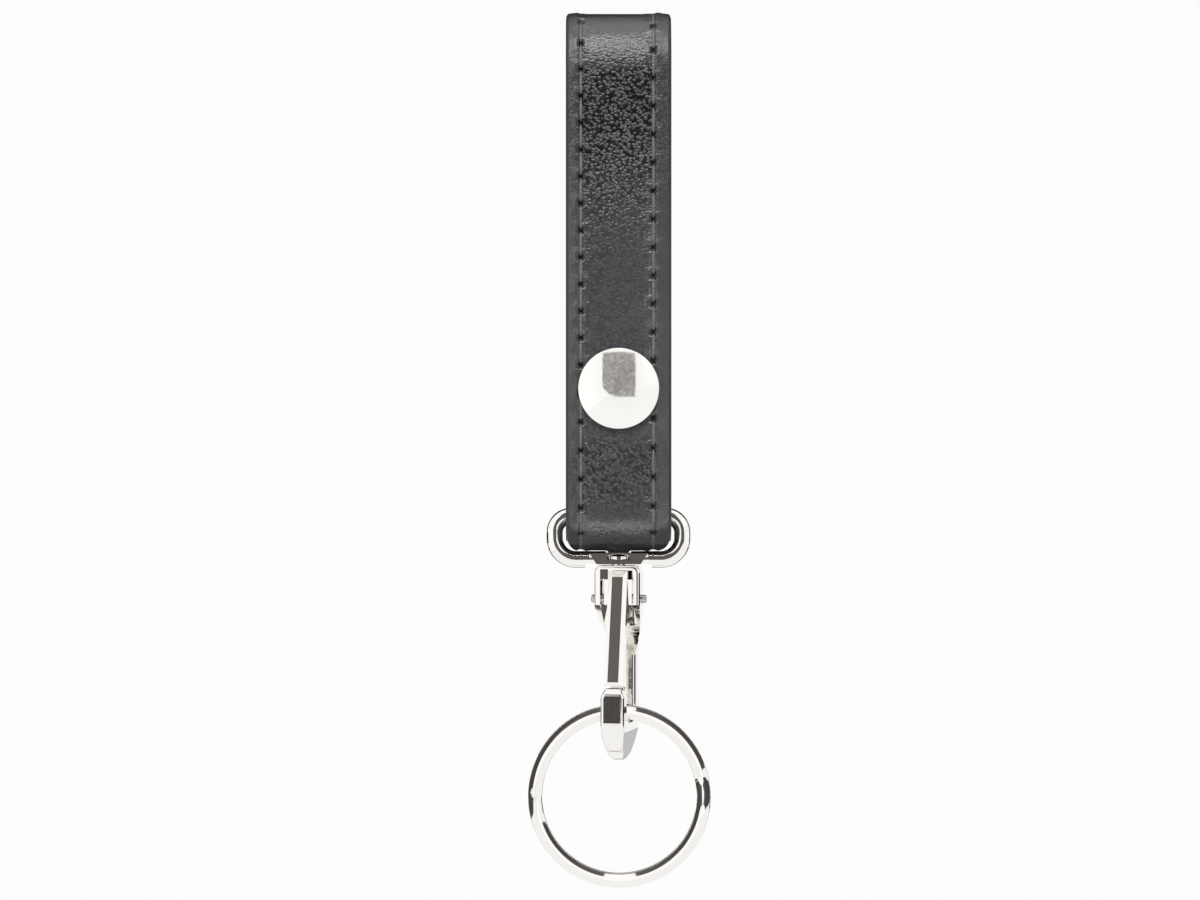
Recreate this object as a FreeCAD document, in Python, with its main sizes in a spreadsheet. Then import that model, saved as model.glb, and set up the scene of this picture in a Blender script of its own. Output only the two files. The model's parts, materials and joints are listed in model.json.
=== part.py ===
"""Belt key clip: a lined leather strap with a snap, a swivel loop, a push-gate hook and a key ring.

Millimetres. The origin is the middle of the belt slot's inner top, +X runs along the belt,
-Y is the outside that faces away from the wearer, and +Z is up.
"""
import FreeCAD
import Part
import Sketcher
import math
import os

Vector = FreeCAD.Vector
doc = FreeCAD.newDocument("belt_key_clip")

# Driving dimensions
sizes = {
    # leather strap
    "slot_gap": 7.0,
    "strap_width": 20.1,
    "ply_thickness": 1.8,
    "loop_drop": 93.05,
    "fold_clearance": 0.4,
    "fold_corner": 2.6,
    "tail_gap": 0.2,
    "tail_rise": 33.05,
    "tail_sweep": 16.0,
    "rear_leg_past_snap": 10.3,
    "rear_end_radius": 7.0,
    # thread rows
    "stitch_inset": 2.8,
    "stitch_pitch": 5.2,
    "stitch_length": 4.2,
    "stitch_margin": 5.0,
    "thread_width": 0.8,
    "thread_height": 0.3,
    # snap
    "snap_rise": 24.35,
    "snap_sheet": 0.4,
    "snap_clearance": 0.3,
    "cap_diameter": 15.3,
    "cap_height": 2.9,
    "cap_rim": 0.8,
    "barrel_diameter": 4.6,
    "socket_diameter": 12.4,
    "socket_wall_diameter": 9.2,
    "socket_lip": 0.3,
    "stud_flange": 11.0,
    "stud_head_diameter": 5.6,
    "stud_neck_diameter": 4.9,
    "stud_head_height": 0.5,
    "stud_wall": 0.45,
    "spring_wire": 0.5,
    "spring_play": 0.25,
    "spring_opening": 40.0,
    "post_flange": 11.0,
    "post_bore": 3.0,
    # swivel loop
    "loop_side_gap": 0.6,
    "loop_height": 11.5,
    "loop_wire": 3.2,
    "loop_shoulder": 3.1,
    "boss_width": 11.2,
    "boss_base_width": 8.4,
    "boss_depth": 5.6,
    "boss_rise": 1.25,
    "boss_base": 0.85,
    "relief_diameter": 12.8,
    "seat_width": 4.5,
    "seat_back": 2.3,
    "seat_rise": 0.05,
    # swivel rivet
    "rivet_head": 4.3,
    "rivet_head_height": 1.0,
    "rivet_shank": 2.6,
    "running_clearance": 0.05,
    "swivel_clearance": 0.2,
    # snap hook
    "hook_turn": 12.0,
    "hook_length": 37.4,
    "hook_width": 4.6,
    "yoke_width": 8.9,
    "yoke_front": 1.7,
    "yoke_rear": 2.6,
    "yoke_back": 3.2,
    "yoke_length": 7.6,
    "shoulder_radius": 1.5,
    "spine_back": 8.7,
    "spine_thickness": 4.0,
    "spine_shoulder": 9.8,
    "nose_front": 6.3,
    "nose_thickness": 3.3,
    "nose_height": 14.25,
    "nose_bevel": 1.9,
    "bend_thickness": 7.2,
    "hook_round": 0.65,
    "yoke_round": 0.6,
    # gate
    "pin_drop": 6.5,
    "pin_back": 0.45,
    "pin_diameter": 1.6,
    "pin_length": 10.8,
    "slot_width": 6.5,
    "slot_ceiling": 0.8,
    "slot_back": 2.0,
    "gate_width": 3.7,
    "gate_head_width": 5.4,
    "gate_thickness": 2.4,
    "gate_top": 5.3,
    "gate_end_gap": 0.2,
    "gate_forward": 1.9,
    "gate_toe": 5.6,
    "gate_bevel": 0.8,
    "gate_bevel_depth": 0.45,
    "ear_setback": 0.35,
    "ear_back": 1.5,
    "tongue_length": 1.6,
    "tongue_thickness": 1.25,
    "tongue_gap": 0.15,
    # gate spring
    "coil_drop": 3.1,
    "coil_diameter": 2.2,
    "coil_wire": 0.4,
    "coil_turns": 5.25,
    "coil_pocket": 2.0,
    "coil_seat": 0.9,
    # split ring
    "ring_diameter": 35.0,
    "ring_band": 2.7,
    "ring_turn": 1.25,
    "ring_gap": 0.45,
    "ring_edge_radius": 0.35,
    "ring_rest": 0.65,
    "ring_end_angle": 13.0,
    "ring_jog_angle": 25.0,
    # how far cutting sketches reach past what they cut
    "overrun": 3.0,
}
sheet = doc.addObject("Spreadsheet::Sheet", "Sizes")
for row, (alias, number) in enumerate(sizes.items(), start=1):
    sheet.set(f"A{row}", alias)
    sheet.set(f"B{row}", str(number))
    sheet.setAlias(f"B{row}", alias)
doc.recompute()


# Helpers
def value(expression):
    """Number that an expression of sheet sizes gives."""
    return float(sheet.evalExpression(expression))


def start_body(node):
    """New body of one sub-part."""
    body = doc.addObject("PartDesign::Body", node)
    body.Label = node
    body.AllowCompound = True
    return body


def place(body, y=None, z=None, turned=False):
    """Bind a body's place, and the hook's turn, to the sheet."""
    if y:
        body.setExpression("Placement.Base.y", y)
    if z:
        body.setExpression("Placement.Base.z", z)
    if turned:
        body.setExpression("Placement.Rotation.Angle", "-Sizes.hook_turn * 1 deg")


def start_sketch(body, role, offset=None):
    """Sketch on one of the body's own planes, moved along the plane's normal by offset."""
    sketch = body.newObject("Sketcher::SketchObject", body.Label + "_sketch")
    plane = [feature for feature in body.Origin.OriginFeatures if feature.Role == role][0]
    sketch.AttachmentSupport = [(plane, "")]
    sketch.MapMode = "FlatFace"
    if offset:
        sketch.setExpression("AttachmentOffset.Base.z", offset)
    return sketch


def arc_between(start, end, radius, side):
    """Arc under a half circle; side 1 has its centre to the left of the way, -1 to the right."""
    chord = end - start
    middle = (start + end) * 0.5
    height = math.sqrt(max(radius ** 2 - (chord.Length / 2) ** 2, 0))
    left = Vector(-chord.y, chord.x, 0).normalize()
    centre = middle + left * (height * side)
    circle = Part.Circle(centre, Vector(0, 0, 1), radius)
    first, last = (start, end) if side > 0 else (end, start)
    return Part.ArcOfCircle(circle, circle.parameter(first), circle.parameter(last))


def trace(sketch, points, arcs=None, closed=True):
    """Draw an outline through points given as expressions; arcs maps a point's index to (radius, side)."""
    arcs = arcs or {}
    places = [Vector(value(x), value(y), 0) for x, y in points]
    runs = len(points) if closed else len(points) - 1
    ends = []
    for index in range(runs):
        start = places[index]
        end = places[(index + 1) % len(points)]
        if index in arcs:
            radius, side = arcs[index]
            edge = sketch.addGeometry(arc_between(start, end, value(radius), side), False)
            rule = sketch.addConstraint(Sketcher.Constraint("Radius", edge, value(radius)))
            sketch.setExpression(f"Constraints[{rule}]", radius)
            ends.append((edge, 1, 2) if side > 0 else (edge, 2, 1))
        else:
            edge = sketch.addGeometry(Part.LineSegment(start, end), False)
            ends.append((edge, 1, 2))
    for index, (x, y) in enumerate(points):
        if index < runs:
            edge, corner = ends[index][0], ends[index][1]
        else:
            edge, corner = ends[-1][0], ends[-1][2]
        for kind, expression in (("DistanceX", x), ("DistanceY", y)):
            number = value(expression)
            rule = sketch.addConstraint(Sketcher.Constraint(kind, -1, 1, edge, corner, number))
            sketch.setExpression(f"Constraints[{rule}]", expression)
    for index in range(runs):
        following = (index + 1) % runs
        if closed or index < runs - 1:
            pair = Sketcher.Constraint(
                "Coincident", ends[index][0], ends[index][2], ends[following][0], ends[following][1])
            sketch.addConstraint(pair)


def trace_circle(sketch, x, y, diameter):
    """Draw a circle from expressions."""
    place_now = Vector(value(x), value(y), 0)
    edge = sketch.addGeometry(Part.Circle(place_now, Vector(0, 0, 1), value(diameter) / 2), False)
    for kind, expression in (("DistanceX", x), ("DistanceY", y)):
        rule = sketch.addConstraint(Sketcher.Constraint(kind, -1, 1, edge, 3, value(expression)))
        sketch.setExpression(f"Constraints[{rule}]", expression)
    rule = sketch.addConstraint(Sketcher.Constraint("Diameter", edge, value(diameter)))
    sketch.setExpression(f"Constraints[{rule}]", diameter)


def both_sides(points):
    """The outline and its mirror image across the sketch's upright axis."""
    return [points, [(f"-({x})", y) for x, y in points]]


def pad(body, sketch, length, side="Symmetric", reverse=False):
    """Thicken a sketch to a length given as an expression."""
    feature = body.newObject("PartDesign::Pad", body.Label + "_pad")
    feature.Profile = sketch
    feature.SideType = side
    feature.Reversed = reverse
    feature.setExpression("Length", length)
    doc.recompute()
    return feature


def pocket(body, sketch, length=None, side="Symmetric", reverse=False):
    """Cut a sketch right through, or to a length given as an expression."""
    before = body.Shape.Volume
    feature = body.newObject("PartDesign::Pocket", body.Label + "_cut")
    feature.Profile = sketch
    feature.SideType = side
    feature.Reversed = reverse
    if length:
        feature.setExpression("Length", length)
    else:
        feature.Type = "ThroughAll"
    doc.recompute()
    assert body.Shape.Volume < before, body.Label + ": a cut removes nothing"
    return feature


def spin(body, sketch, axis="H_Axis"):
    """Turn a sketch right round one of its own axes."""
    feature = body.newObject("PartDesign::Revolution", body.Label + "_turn")
    feature.Profile = sketch
    feature.ReferenceAxis = (sketch, [axis])
    feature.Angle = 360.0
    doc.recompute()
    return feature


def sweep(body, section, path):
    """Carry a section along a path."""
    feature = body.newObject("PartDesign::AdditivePipe", body.Label + "_pipe")
    feature.Profile = section
    feature.Spine = (path, [f"Edge{number + 1}" for number in range(len(path.Geometry))])
    doc.recompute()
    return feature


# Leather strap: two plies on one path that runs between them
ZERO = "0"
SNAP_Z = "(Sizes.snap_rise - Sizes.loop_drop)"
TAIL_Z = "(Sizes.tail_rise - Sizes.loop_drop)"
REAR_END_Z = f"({SNAP_Z} - Sizes.rear_leg_past_snap)"
INSIDE = "Sizes.slot_gap / 2"
BETWEEN = f"({INSIDE} + Sizes.ply_thickness)"
OUTSIDE = f"({INSIDE} + 2 * Sizes.ply_thickness)"
FOLD = "(Sizes.loop_wire / 2 + Sizes.fold_clearance)"
FOLD_BETWEEN = f"({FOLD} + Sizes.ply_thickness)"
BAR_Y = f"({FOLD} - {INSIDE})"
TAIL_BETWEEN = f"(Sizes.tail_gap + Sizes.ply_thickness - {INSIDE})"
TAIL_BACK = f"(Sizes.tail_gap + 2 * Sizes.ply_thickness - {INSIDE})"
FOLD_REAR = f"({BAR_Y} + {FOLD_BETWEEN})"
SWAY = f"({FOLD_REAR} - {TAIL_BETWEEN})"
SWAY_RADIUS = f"((Sizes.tail_sweep ^ 2 + {SWAY} ^ 2) / (4 * {SWAY}))"


def strap_path(body):
    """From the tail's end down behind the loop's bar, round it, up the front leg and over the top."""
    path = start_sketch(body, "YZ_Plane")
    bar_z = "-Sizes.loop_drop"
    points = [
        (TAIL_BETWEEN, TAIL_Z),
        (TAIL_BETWEEN, "Sizes.tail_sweep - Sizes.loop_drop"),
        (f"({TAIL_BETWEEN} + {FOLD_REAR}) / 2", "Sizes.tail_sweep / 2 - Sizes.loop_drop"),
        (FOLD_REAR, bar_z),
        (BAR_Y, f"-Sizes.loop_drop - {FOLD_BETWEEN}"),
        (f"-{BETWEEN}", bar_z),
        (f"-{BETWEEN}", f"-({INSIDE})"),
        (ZERO, f"{BETWEEN} - {INSIDE}"),
        (BETWEEN, f"-({INSIDE})"),
    ]
    arcs = {
        1: (SWAY_RADIUS, 1),
        2: (SWAY_RADIUS, -1),
        3: (FOLD_BETWEEN, -1),
        4: (FOLD_BETWEEN, -1),
        6: (BETWEEN, -1),
        7: (BETWEEN, -1),
    }
    trace(path, points, arcs, closed=False)
    doc.recompute()
    return path


def cut_fold_corners(body):
    """Round the lower corners of the fold, where the loop's ends curve in."""
    corners = start_sketch(body, "XZ_Plane")
    edge = "Sizes.strap_width / 2"
    bottom = f"-Sizes.loop_drop - {FOLD_BETWEEN} - Sizes.ply_thickness"
    points = [
        (edge, f"{bottom} + Sizes.fold_corner"),
        (f"{edge} - Sizes.fold_corner", bottom),
        (f"{edge} - Sizes.fold_corner", f"{bottom} - Sizes.overrun"),
        (f"{edge} + Sizes.overrun", f"{bottom} - Sizes.overrun"),
        (f"{edge} + Sizes.overrun", f"{bottom} + Sizes.fold_corner"),
    ]
    right, left = both_sides(points)
    trace(corners, right, {0: ("Sizes.fold_corner", -1)})
    trace(corners, left, {0: ("Sizes.fold_corner", 1)})
    pocket(body, corners)


def cut_snap_hole(body, diameter):
    """Round hole on the snap's axis."""
    hole = start_sketch(body, "XZ_Plane")
    trace_circle(hole, ZERO, SNAP_Z, diameter)
    pocket(body, hole)


def front_ply(node, near, far):
    """One ply of the front strap, between two places across the tail."""
    body = start_body(node)
    path = strap_path(body)
    section = start_sketch(body, "XY_Plane", TAIL_Z)
    edge = "Sizes.strap_width / 2"
    trace(section, [(f"-{edge}", near), (edge, near), (edge, far), (f"-{edge}", far)])
    sweep(body, section, path)
    cut_fold_corners(body)
    cut_snap_hole(body, "Sizes.barrel_diameter + 2 * Sizes.running_clearance")
    return body


def rear_ply(node, near):
    """One ply of the rear leg, with round lower corners."""
    body = start_body(node)
    outline = start_sketch(body, "XZ_Plane", f"-({near})")
    edge = "Sizes.strap_width / 2"
    end = REAR_END_Z
    corner = "Sizes.rear_end_radius"
    points = [
        (f"-{edge}", f"-({INSIDE})"),
        (f"-{edge}", f"{end} + {corner}"),
        (f"{corner} - {edge}", end),
        (f"{edge} - {corner}", end),
        (edge, f"{end} + {corner}"),
        (edge, f"-({INSIDE})"),
    ]
    trace(outline, points, {1: (corner, 1), 3: (corner, 1)})
    pad(body, outline, "Sizes.ply_thickness", side="One side", reverse=True)
    cut_snap_hole(body, "Sizes.post_bore + 2 * Sizes.stud_wall + 2 * Sizes.running_clearance")
    return body


front_ply("strap_face", TAIL_BETWEEN, TAIL_BACK)
front_ply("strap_liner", f"{TAIL_BETWEEN} - Sizes.ply_thickness", TAIL_BETWEEN)
rear_ply("rear_strap_face", BETWEEN)
rear_ply("rear_strap_liner", INSIDE)


# Thread rows: short bars of thread on the leather's outer face
def stitch_row(node, x, offset, reverse, run):
    """Row of stitches down one edge of a leg whose straight run is given."""
    body = start_body(node)
    stitch = start_sketch(body, "XZ_Plane", offset)
    half = "Sizes.thread_width / 2"
    top = f"-({INSIDE}) - Sizes.stitch_margin"
    bottom = f"{top} - Sizes.stitch_length"
    points = [
        (f"{x} + {half}", f"{top} - {half}"),
        (x, top),
        (f"{x} - {half}", f"{top} - {half}"),
        (f"{x} - {half}", f"{bottom} + {half}"),
        (x, bottom),
        (f"{x} + {half}", f"{bottom} + {half}"),
    ]
    trace(stitch, points, {corner: (half, 1) for corner in (0, 1, 3, 4)})
    bar = pad(body, stitch, "Sizes.thread_height", side="One side", reverse=reverse)
    row = body.newObject("PartDesign::LinearPattern", node + "_row")
    row.Originals = [bar]
    row.Direction = (stitch, ["V_Axis"])
    row.Reversed = True
    row.Mode = "Spacing"
    row.setExpression("Offset", "Sizes.stitch_pitch")
    span = f"{run} - 2 * Sizes.stitch_margin - Sizes.stitch_length"
    row.setExpression("Occurrences", f"floor(({span}) / Sizes.stitch_pitch) + 1")
    body.Tip = row
    doc.recompute()
    return body


EDGE_ROW = "(Sizes.strap_width / 2 - Sizes.stitch_inset)"
FRONT_RUN = f"Sizes.loop_drop - {INSIDE}"
REAR_RUN = f"-{REAR_END_Z} - {INSIDE}"
UNDER_CAP = "Sizes.cap_diameter + 2 * Sizes.snap_clearance"
for row in (
    stitch_row("stitching_left", f"-{EDGE_ROW}", OUTSIDE, False, FRONT_RUN),
    stitch_row("stitching_right", EDGE_ROW, OUTSIDE, False, FRONT_RUN),
):
    # a cap that reaches the row lies over some of its stitches
    if value(f"{EDGE_ROW} - Sizes.thread_width / 2") < value(f"({UNDER_CAP}) / 2"):
        cut_snap_hole(row, UNDER_CAP)
stitch_row("rear_stitching_left", f"-{EDGE_ROW}", f"-{OUTSIDE}", True, REAR_RUN)
stitch_row("rear_stitching_right", EDGE_ROW, f"-{OUTSIDE}", True, REAR_RUN)

# Snap: cap and socket on the front strap and its tail, stud and post on the rear leg
SNAP_FLOOR = f"({TAIL_BACK} + Sizes.snap_sheet)"
SNAP_TOP = f"({INSIDE} - Sizes.snap_sheet - Sizes.snap_clearance)"
STUD_TIP = f"({SNAP_FLOOR} + Sizes.socket_lip + Sizes.snap_clearance)"
HEAD_BASE = f"({STUD_TIP} + Sizes.stud_head_height)"
BARREL = "Sizes.barrel_diameter / 2"
POST = "(Sizes.post_bore / 2 + Sizes.stud_wall)"
SPRING_IN = "(Sizes.stud_neck_diameter / 2 + Sizes.spring_play)"
SPRING_OUT = f"({SPRING_IN} + Sizes.spring_wire)"
SPRING_Y = f"({HEAD_BASE} + Sizes.running_clearance + Sizes.spring_wire / 2)"


def turned_snap(node, points, arcs=None):
    """Snap piece turned about the snap's axis from its half outline."""
    body = start_body(node)
    half = start_sketch(body, "YZ_Plane")
    trace(half, points, arcs)
    spin(body, half)
    place(body, z=SNAP_Z)
    return body


def snap_cap():
    """Shallow dome with a rolled rim, and a barrel that is flared over the socket's floor."""
    rise = "(Sizes.cap_height - Sizes.cap_rim)"
    wide = "Sizes.cap_diameter / 2"
    dome = f"((({wide}) ^ 2 + {rise} ^ 2) / (2 * {rise}))"
    points = [
        (f"-{OUTSIDE} - Sizes.cap_height", ZERO),
        (f"-{OUTSIDE}", ZERO),
        (f"-{OUTSIDE}", f"{BARREL} - Sizes.snap_sheet"),
        (f"{SNAP_FLOOR} + Sizes.socket_lip", f"{BARREL} - Sizes.snap_sheet"),
        (f"{SNAP_FLOOR} + Sizes.socket_lip", f"{BARREL} + Sizes.snap_sheet"),
        (SNAP_FLOOR, f"{BARREL} + Sizes.snap_sheet"),
        (SNAP_FLOOR, BARREL),
        (f"-{OUTSIDE}", BARREL),
        (f"-{OUTSIDE}", f"{wide} - Sizes.cap_rim"),
        (f"-{OUTSIDE} - Sizes.cap_rim", wide),
    ]
    turned_snap("snap_cap", points, {8: ("Sizes.cap_rim", 1), 9: (dome, 1)})


def snap_socket():
    """Flanged cup with a lip that keeps the ring spring in."""
    mouth = "Sizes.stud_head_diameter / 2 + Sizes.snap_clearance"
    cavity = f"{SPRING_OUT} + 3 * Sizes.running_clearance"
    eye = f"{BARREL} + Sizes.running_clearance"
    points = [
        (TAIL_BACK, eye),
        (SNAP_FLOOR, eye),
        (SNAP_FLOOR, cavity),
        (f"{SNAP_TOP} - Sizes.socket_lip", cavity),
        (f"{SNAP_TOP} - Sizes.socket_lip", mouth),
        (SNAP_TOP, mouth),
        (SNAP_TOP, "Sizes.socket_wall_diameter / 2 - Sizes.snap_sheet"),
        (f"{SNAP_TOP} - Sizes.snap_sheet", "Sizes.socket_wall_diameter / 2"),
        (SNAP_FLOOR, "Sizes.socket_wall_diameter / 2"),
        (SNAP_FLOOR, "Sizes.socket_diameter / 2"),
        (TAIL_BACK, "Sizes.socket_diameter / 2"),
    ]
    turned_snap("snap_socket", points, {6: ("Sizes.snap_sheet", 1)})


def snap_spring():
    """Open wire ring round the stud's neck."""
    ring = doc.addObject("Part::Torus", "snap_spring")
    ring.Label = "snap_spring"
    ring.Placement = FreeCAD.Placement(Vector(), FreeCAD.Rotation(Vector(1, 0, 0), 90))
    ring.setExpression("Radius1", f"{SPRING_IN} + Sizes.spring_wire / 2")
    ring.setExpression("Radius2", "Sizes.spring_wire / 2")
    ring.setExpression("Angle3", "360 - Sizes.spring_opening")
    place(ring, y=SPRING_Y, z=SNAP_Z)


def snap_stud():
    """Flanged stud with a bulged head, hollow for the post."""
    points = [
        (INSIDE, f"{POST} + Sizes.running_clearance"),
        (INSIDE, "Sizes.stud_flange / 2"),
        (f"{INSIDE} - Sizes.snap_sheet", "Sizes.stud_flange / 2"),
        (f"{INSIDE} - Sizes.snap_sheet", "Sizes.stud_neck_diameter / 2"),
        (HEAD_BASE, "Sizes.stud_neck_diameter / 2"),
        (f"{HEAD_BASE} - Sizes.stud_head_height / 3", "Sizes.stud_head_diameter / 2"),
        (STUD_TIP, "Sizes.stud_neck_diameter / 2"),
        (STUD_TIP, ZERO),
        (HEAD_BASE, ZERO),
        (HEAD_BASE, f"{POST} + Sizes.running_clearance"),
    ]
    turned_snap("snap_stud", points)


def snap_post():
    """Eyelet with a domed flange on the rear leg's outer face."""
    end = f"{HEAD_BASE} + Sizes.running_clearance"
    points = [
        (end, "Sizes.post_bore / 2"),
        (f"{OUTSIDE} + 2 * Sizes.snap_sheet", "Sizes.post_bore / 2"),
        (f"{OUTSIDE} + 2 * Sizes.snap_sheet", f"{POST} + Sizes.stud_wall"),
        (f"{OUTSIDE} + Sizes.snap_sheet / 2", "Sizes.post_flange / 2"),
        (OUTSIDE, "Sizes.post_flange / 2"),
        (OUTSIDE, POST),
        (end, POST),
    ]
    turned_snap("snap_post", points)


snap_cap()
snap_socket()
snap_spring()
snap_stud()
snap_post()

# Swivel loop: round wire bent to an oblong, with a boss on its lower bar
LOOP_RUN = "(Sizes.loop_height - Sizes.loop_wire)"
HALF_LOOP = "((Sizes.strap_width + Sizes.loop_wire) / 2 + Sizes.loop_side_gap)"
BAR_Z = "-Sizes.loop_drop"
LOWER_Z = f"(-Sizes.loop_drop - {LOOP_RUN})"


def swivel_loop():
    """Closed loop whose upper bar lies in the strap's fold."""
    body = start_body("swivel_loop")
    path = start_sketch(body, "XZ_Plane")
    low = f"{LOOP_RUN} / 2"
    upper = "Sizes.loop_shoulder"
    points = [
        (ZERO, BAR_Z),
        (f"{HALF_LOOP} - {upper}", BAR_Z),
        (HALF_LOOP, f"{BAR_Z} - {upper}"),
        (HALF_LOOP, f"{LOWER_Z} + {low}"),
        (f"{HALF_LOOP} - {low}", LOWER_Z),
        (f"{low} - {HALF_LOOP}", LOWER_Z),
        (f"-({HALF_LOOP})", f"{LOWER_Z} + {low}"),
        (f"-({HALF_LOOP})", f"{BAR_Z} - {upper}"),
        (f"{upper} - {HALF_LOOP}", BAR_Z),
    ]
    arcs = {1: (upper, -1), 3: (low, -1), 5: (low, -1), 7: (upper, -1)}
    trace(path, points, arcs)
    section = start_sketch(body, "YZ_Plane")
    trace_circle(section, ZERO, BAR_Z, "Sizes.loop_wire")
    doc.recompute()
    sweep(body, section, path)
    relief = start_sketch(body, "XY_Plane", f"{LOWER_Z} - Sizes.boss_base")
    trace_circle(relief, ZERO, ZERO, "Sizes.relief_diameter")
    pocket(body, relief, "Sizes.loop_wire", side="One side")
    boss = start_sketch(body, "XZ_Plane")
    wide = "Sizes.boss_width / 2"
    seat = "Sizes.seat_width / 2"
    base = "Sizes.boss_base_width / 2"
    rim = f"{LOWER_Z} + Sizes.boss_rise"
    floor = f"{LOWER_Z} + Sizes.seat_rise"
    foot = f"{LOWER_Z} - Sizes.boss_base"
    wall = f"{seat} + Sizes.boss_rise / 8"
    right = [(wide, rim), (base, foot)]
    left = [(f"-({x})", z) for x, z in reversed(right)]
    trace(boss, right + left)
    pad(body, boss, "Sizes.boss_depth")
    notch = start_sketch(body, "XZ_Plane", "-Sizes.seat_back")
    above = f"{rim} + Sizes.loop_wire"
    right = [(seat, floor), (wall, rim), (wall, above)]
    left = [(f"-({x})", z) for x, z in reversed(right)]
    trace(notch, right + left)
    pocket(body, notch, "Sizes.boss_depth + Sizes.overrun", side="One side", reverse=True)
    bore = start_sketch(body, "XY_Plane", rim)
    trace_circle(bore, ZERO, ZERO, "Sizes.rivet_shank + 2 * Sizes.running_clearance")
    pocket(body, bore, "Sizes.boss_rise + Sizes.loop_wire", side="One side")
    place(body, y=BAR_Y)


swivel_loop()

# Snap hook: everything below hangs from the swivel and is turned with it
HOOK_Z = f"({LOWER_Z} - Sizes.boss_base - Sizes.swivel_clearance)"
SPINE_IN = "(Sizes.spine_back - Sizes.spine_thickness)"
NOSE_IN = "(Sizes.nose_front - Sizes.nose_thickness)"
BEND = "((Sizes.spine_back + Sizes.nose_front) / 2)"
BEND_Y = "((Sizes.spine_back - Sizes.nose_front) / 2)"
BEND_Z = f"({BEND} - Sizes.hook_length)"
EYE = f"(({SPINE_IN} + {NOSE_IN}) / 2)"
EYE_Y = f"(({SPINE_IN} - {NOSE_IN}) / 2)"
SADDLE_Z = "(Sizes.bend_thickness - Sizes.hook_length)"
EYE_Z = f"({SADDLE_Z} + {EYE})"
NOSE_Z = "(Sizes.nose_height - Sizes.hook_length)"
HALF_HOOK = "Sizes.hook_width / 2"
HALF_YOKE = "Sizes.yoke_width / 2"
PIN_HOLE = "Sizes.pin_diameter + 2 * Sizes.running_clearance"
COIL_Z = "(-Sizes.pin_drop - Sizes.coil_drop)"
COIL_HOLE = "Sizes.coil_diameter + 6 * Sizes.running_clearance"
GATE_REACH = f"(-{NOSE_Z} - Sizes.pin_drop - Sizes.gate_end_gap)"
GATE_SLOPE = f"((Sizes.gate_toe - Sizes.gate_forward) / {GATE_REACH})"
# widths of the yoke's taper as shares of its step to the hook's bar, by shares of the taper's height
yoke_taper_shares = ((1.0, 0.0), (0.75, 0.33), (0.39, 0.65), (0.0, 1.0))
# widths of the rounded toe as shares of the bar's half width, by shares of the bend's radius
toe_shares = ((1.0, 0.77), (0.67, 0.19), (0.4, -0.05))
nose_crest_share = 0.63
yoke_waist_share = 0.5
near_all_share = 0.99
nose_slope_share = 0.2


def swivel_rivet():
    """Swivel post: domed head on the boss's seat, shank through the boss and the yoke's top."""
    body = start_body("swivel_rivet")
    half = start_sketch(body, "XZ_Plane")
    shank = "Sizes.rivet_shank / 2"
    head = "Sizes.rivet_head / 2"
    seat = f"{LOWER_Z} + Sizes.seat_rise + Sizes.running_clearance"
    end = f"{HOOK_Z} - Sizes.slot_ceiling"
    dome = f"((({head}) ^ 2 + (Sizes.rivet_head_height / 2) ^ 2) / Sizes.rivet_head_height)"
    points = [
        (ZERO, end),
        (shank, end),
        (shank, seat),
        (head, seat),
        (head, f"{seat} + Sizes.rivet_head_height / 2"),
        (ZERO, f"{seat} + Sizes.rivet_head_height"),
    ]
    trace(half, points, {4: (dome, 1)})
    spin(body, half, "V_Axis")
    place(body, y=BAR_Y, turned=True)


def hook_profile(sketch):
    """Side outline of yoke, spine, bend and nose."""
    shoulder = "(Sizes.spine_back - Sizes.yoke_back)"
    back = f"(({shoulder} ^ 2 + Sizes.spine_shoulder ^ 2) / (2 * {shoulder}))"
    nose_in = f"-{NOSE_IN}"
    slope = f"{nose_slope_share} * Sizes.nose_thickness"
    points = [
        ("-Sizes.yoke_front", ZERO),
        ("-Sizes.yoke_front", "-Sizes.yoke_length"),
        (SPINE_IN, f"-Sizes.yoke_length - Sizes.yoke_front - {SPINE_IN}"),
        (SPINE_IN, EYE_Z),
        (EYE_Y, SADDLE_Z),
        (nose_in, EYE_Z),
        (nose_in, f"{NOSE_Z} - {slope}"),
        (f"{nose_in} - 2 * Sizes.nose_thickness / 3", NOSE_Z),
        ("-Sizes.nose_front", f"{NOSE_Z} - 2 * {slope}"),
        ("-Sizes.nose_front", BEND_Z),
        (BEND_Y, "-Sizes.hook_length"),
        ("Sizes.spine_back", BEND_Z),
        ("Sizes.spine_back", "-Sizes.spine_shoulder"),
        ("Sizes.yoke_back", ZERO),
    ]
    arcs = {3: (EYE, -1), 4: (EYE, -1), 9: (BEND, 1), 10: (BEND, 1), 12: (back, 1)}
    trace(sketch, points, arcs)


def hook_silhouette(sketch):
    """What is cut away beside the hook, seen from the front: round shoulders, taper and toe."""
    out = f"{HALF_YOKE} + Sizes.overrun"
    taper = "Sizes.spine_shoulder"
    points = [
        (f"{HALF_YOKE} - Sizes.shoulder_radius", ZERO),
        (HALF_YOKE, "-Sizes.shoulder_radius"),
    ]
    for width_share, height_share in yoke_taper_shares:
        wide = f"{HALF_HOOK} + {width_share} * ({HALF_YOKE} - {HALF_HOOK})"
        points.append((wide, f"-Sizes.yoke_length - {height_share} * {taper}"))
    for width_share, height_share in toe_shares:
        points.append((f"{width_share} * {HALF_HOOK}", f"{height_share} * {BEND} - Sizes.hook_length"))
    points.append((out, f"{points[-1][1]}"))
    points.append((out, "Sizes.overrun"))
    points.append((f"{HALF_YOKE} - Sizes.shoulder_radius", "Sizes.overrun"))
    right, left = both_sides(points)
    trace(sketch, right, {0: ("Sizes.shoulder_radius", -1)})
    trace(sketch, left, {0: ("Sizes.shoulder_radius", 1)})


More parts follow.
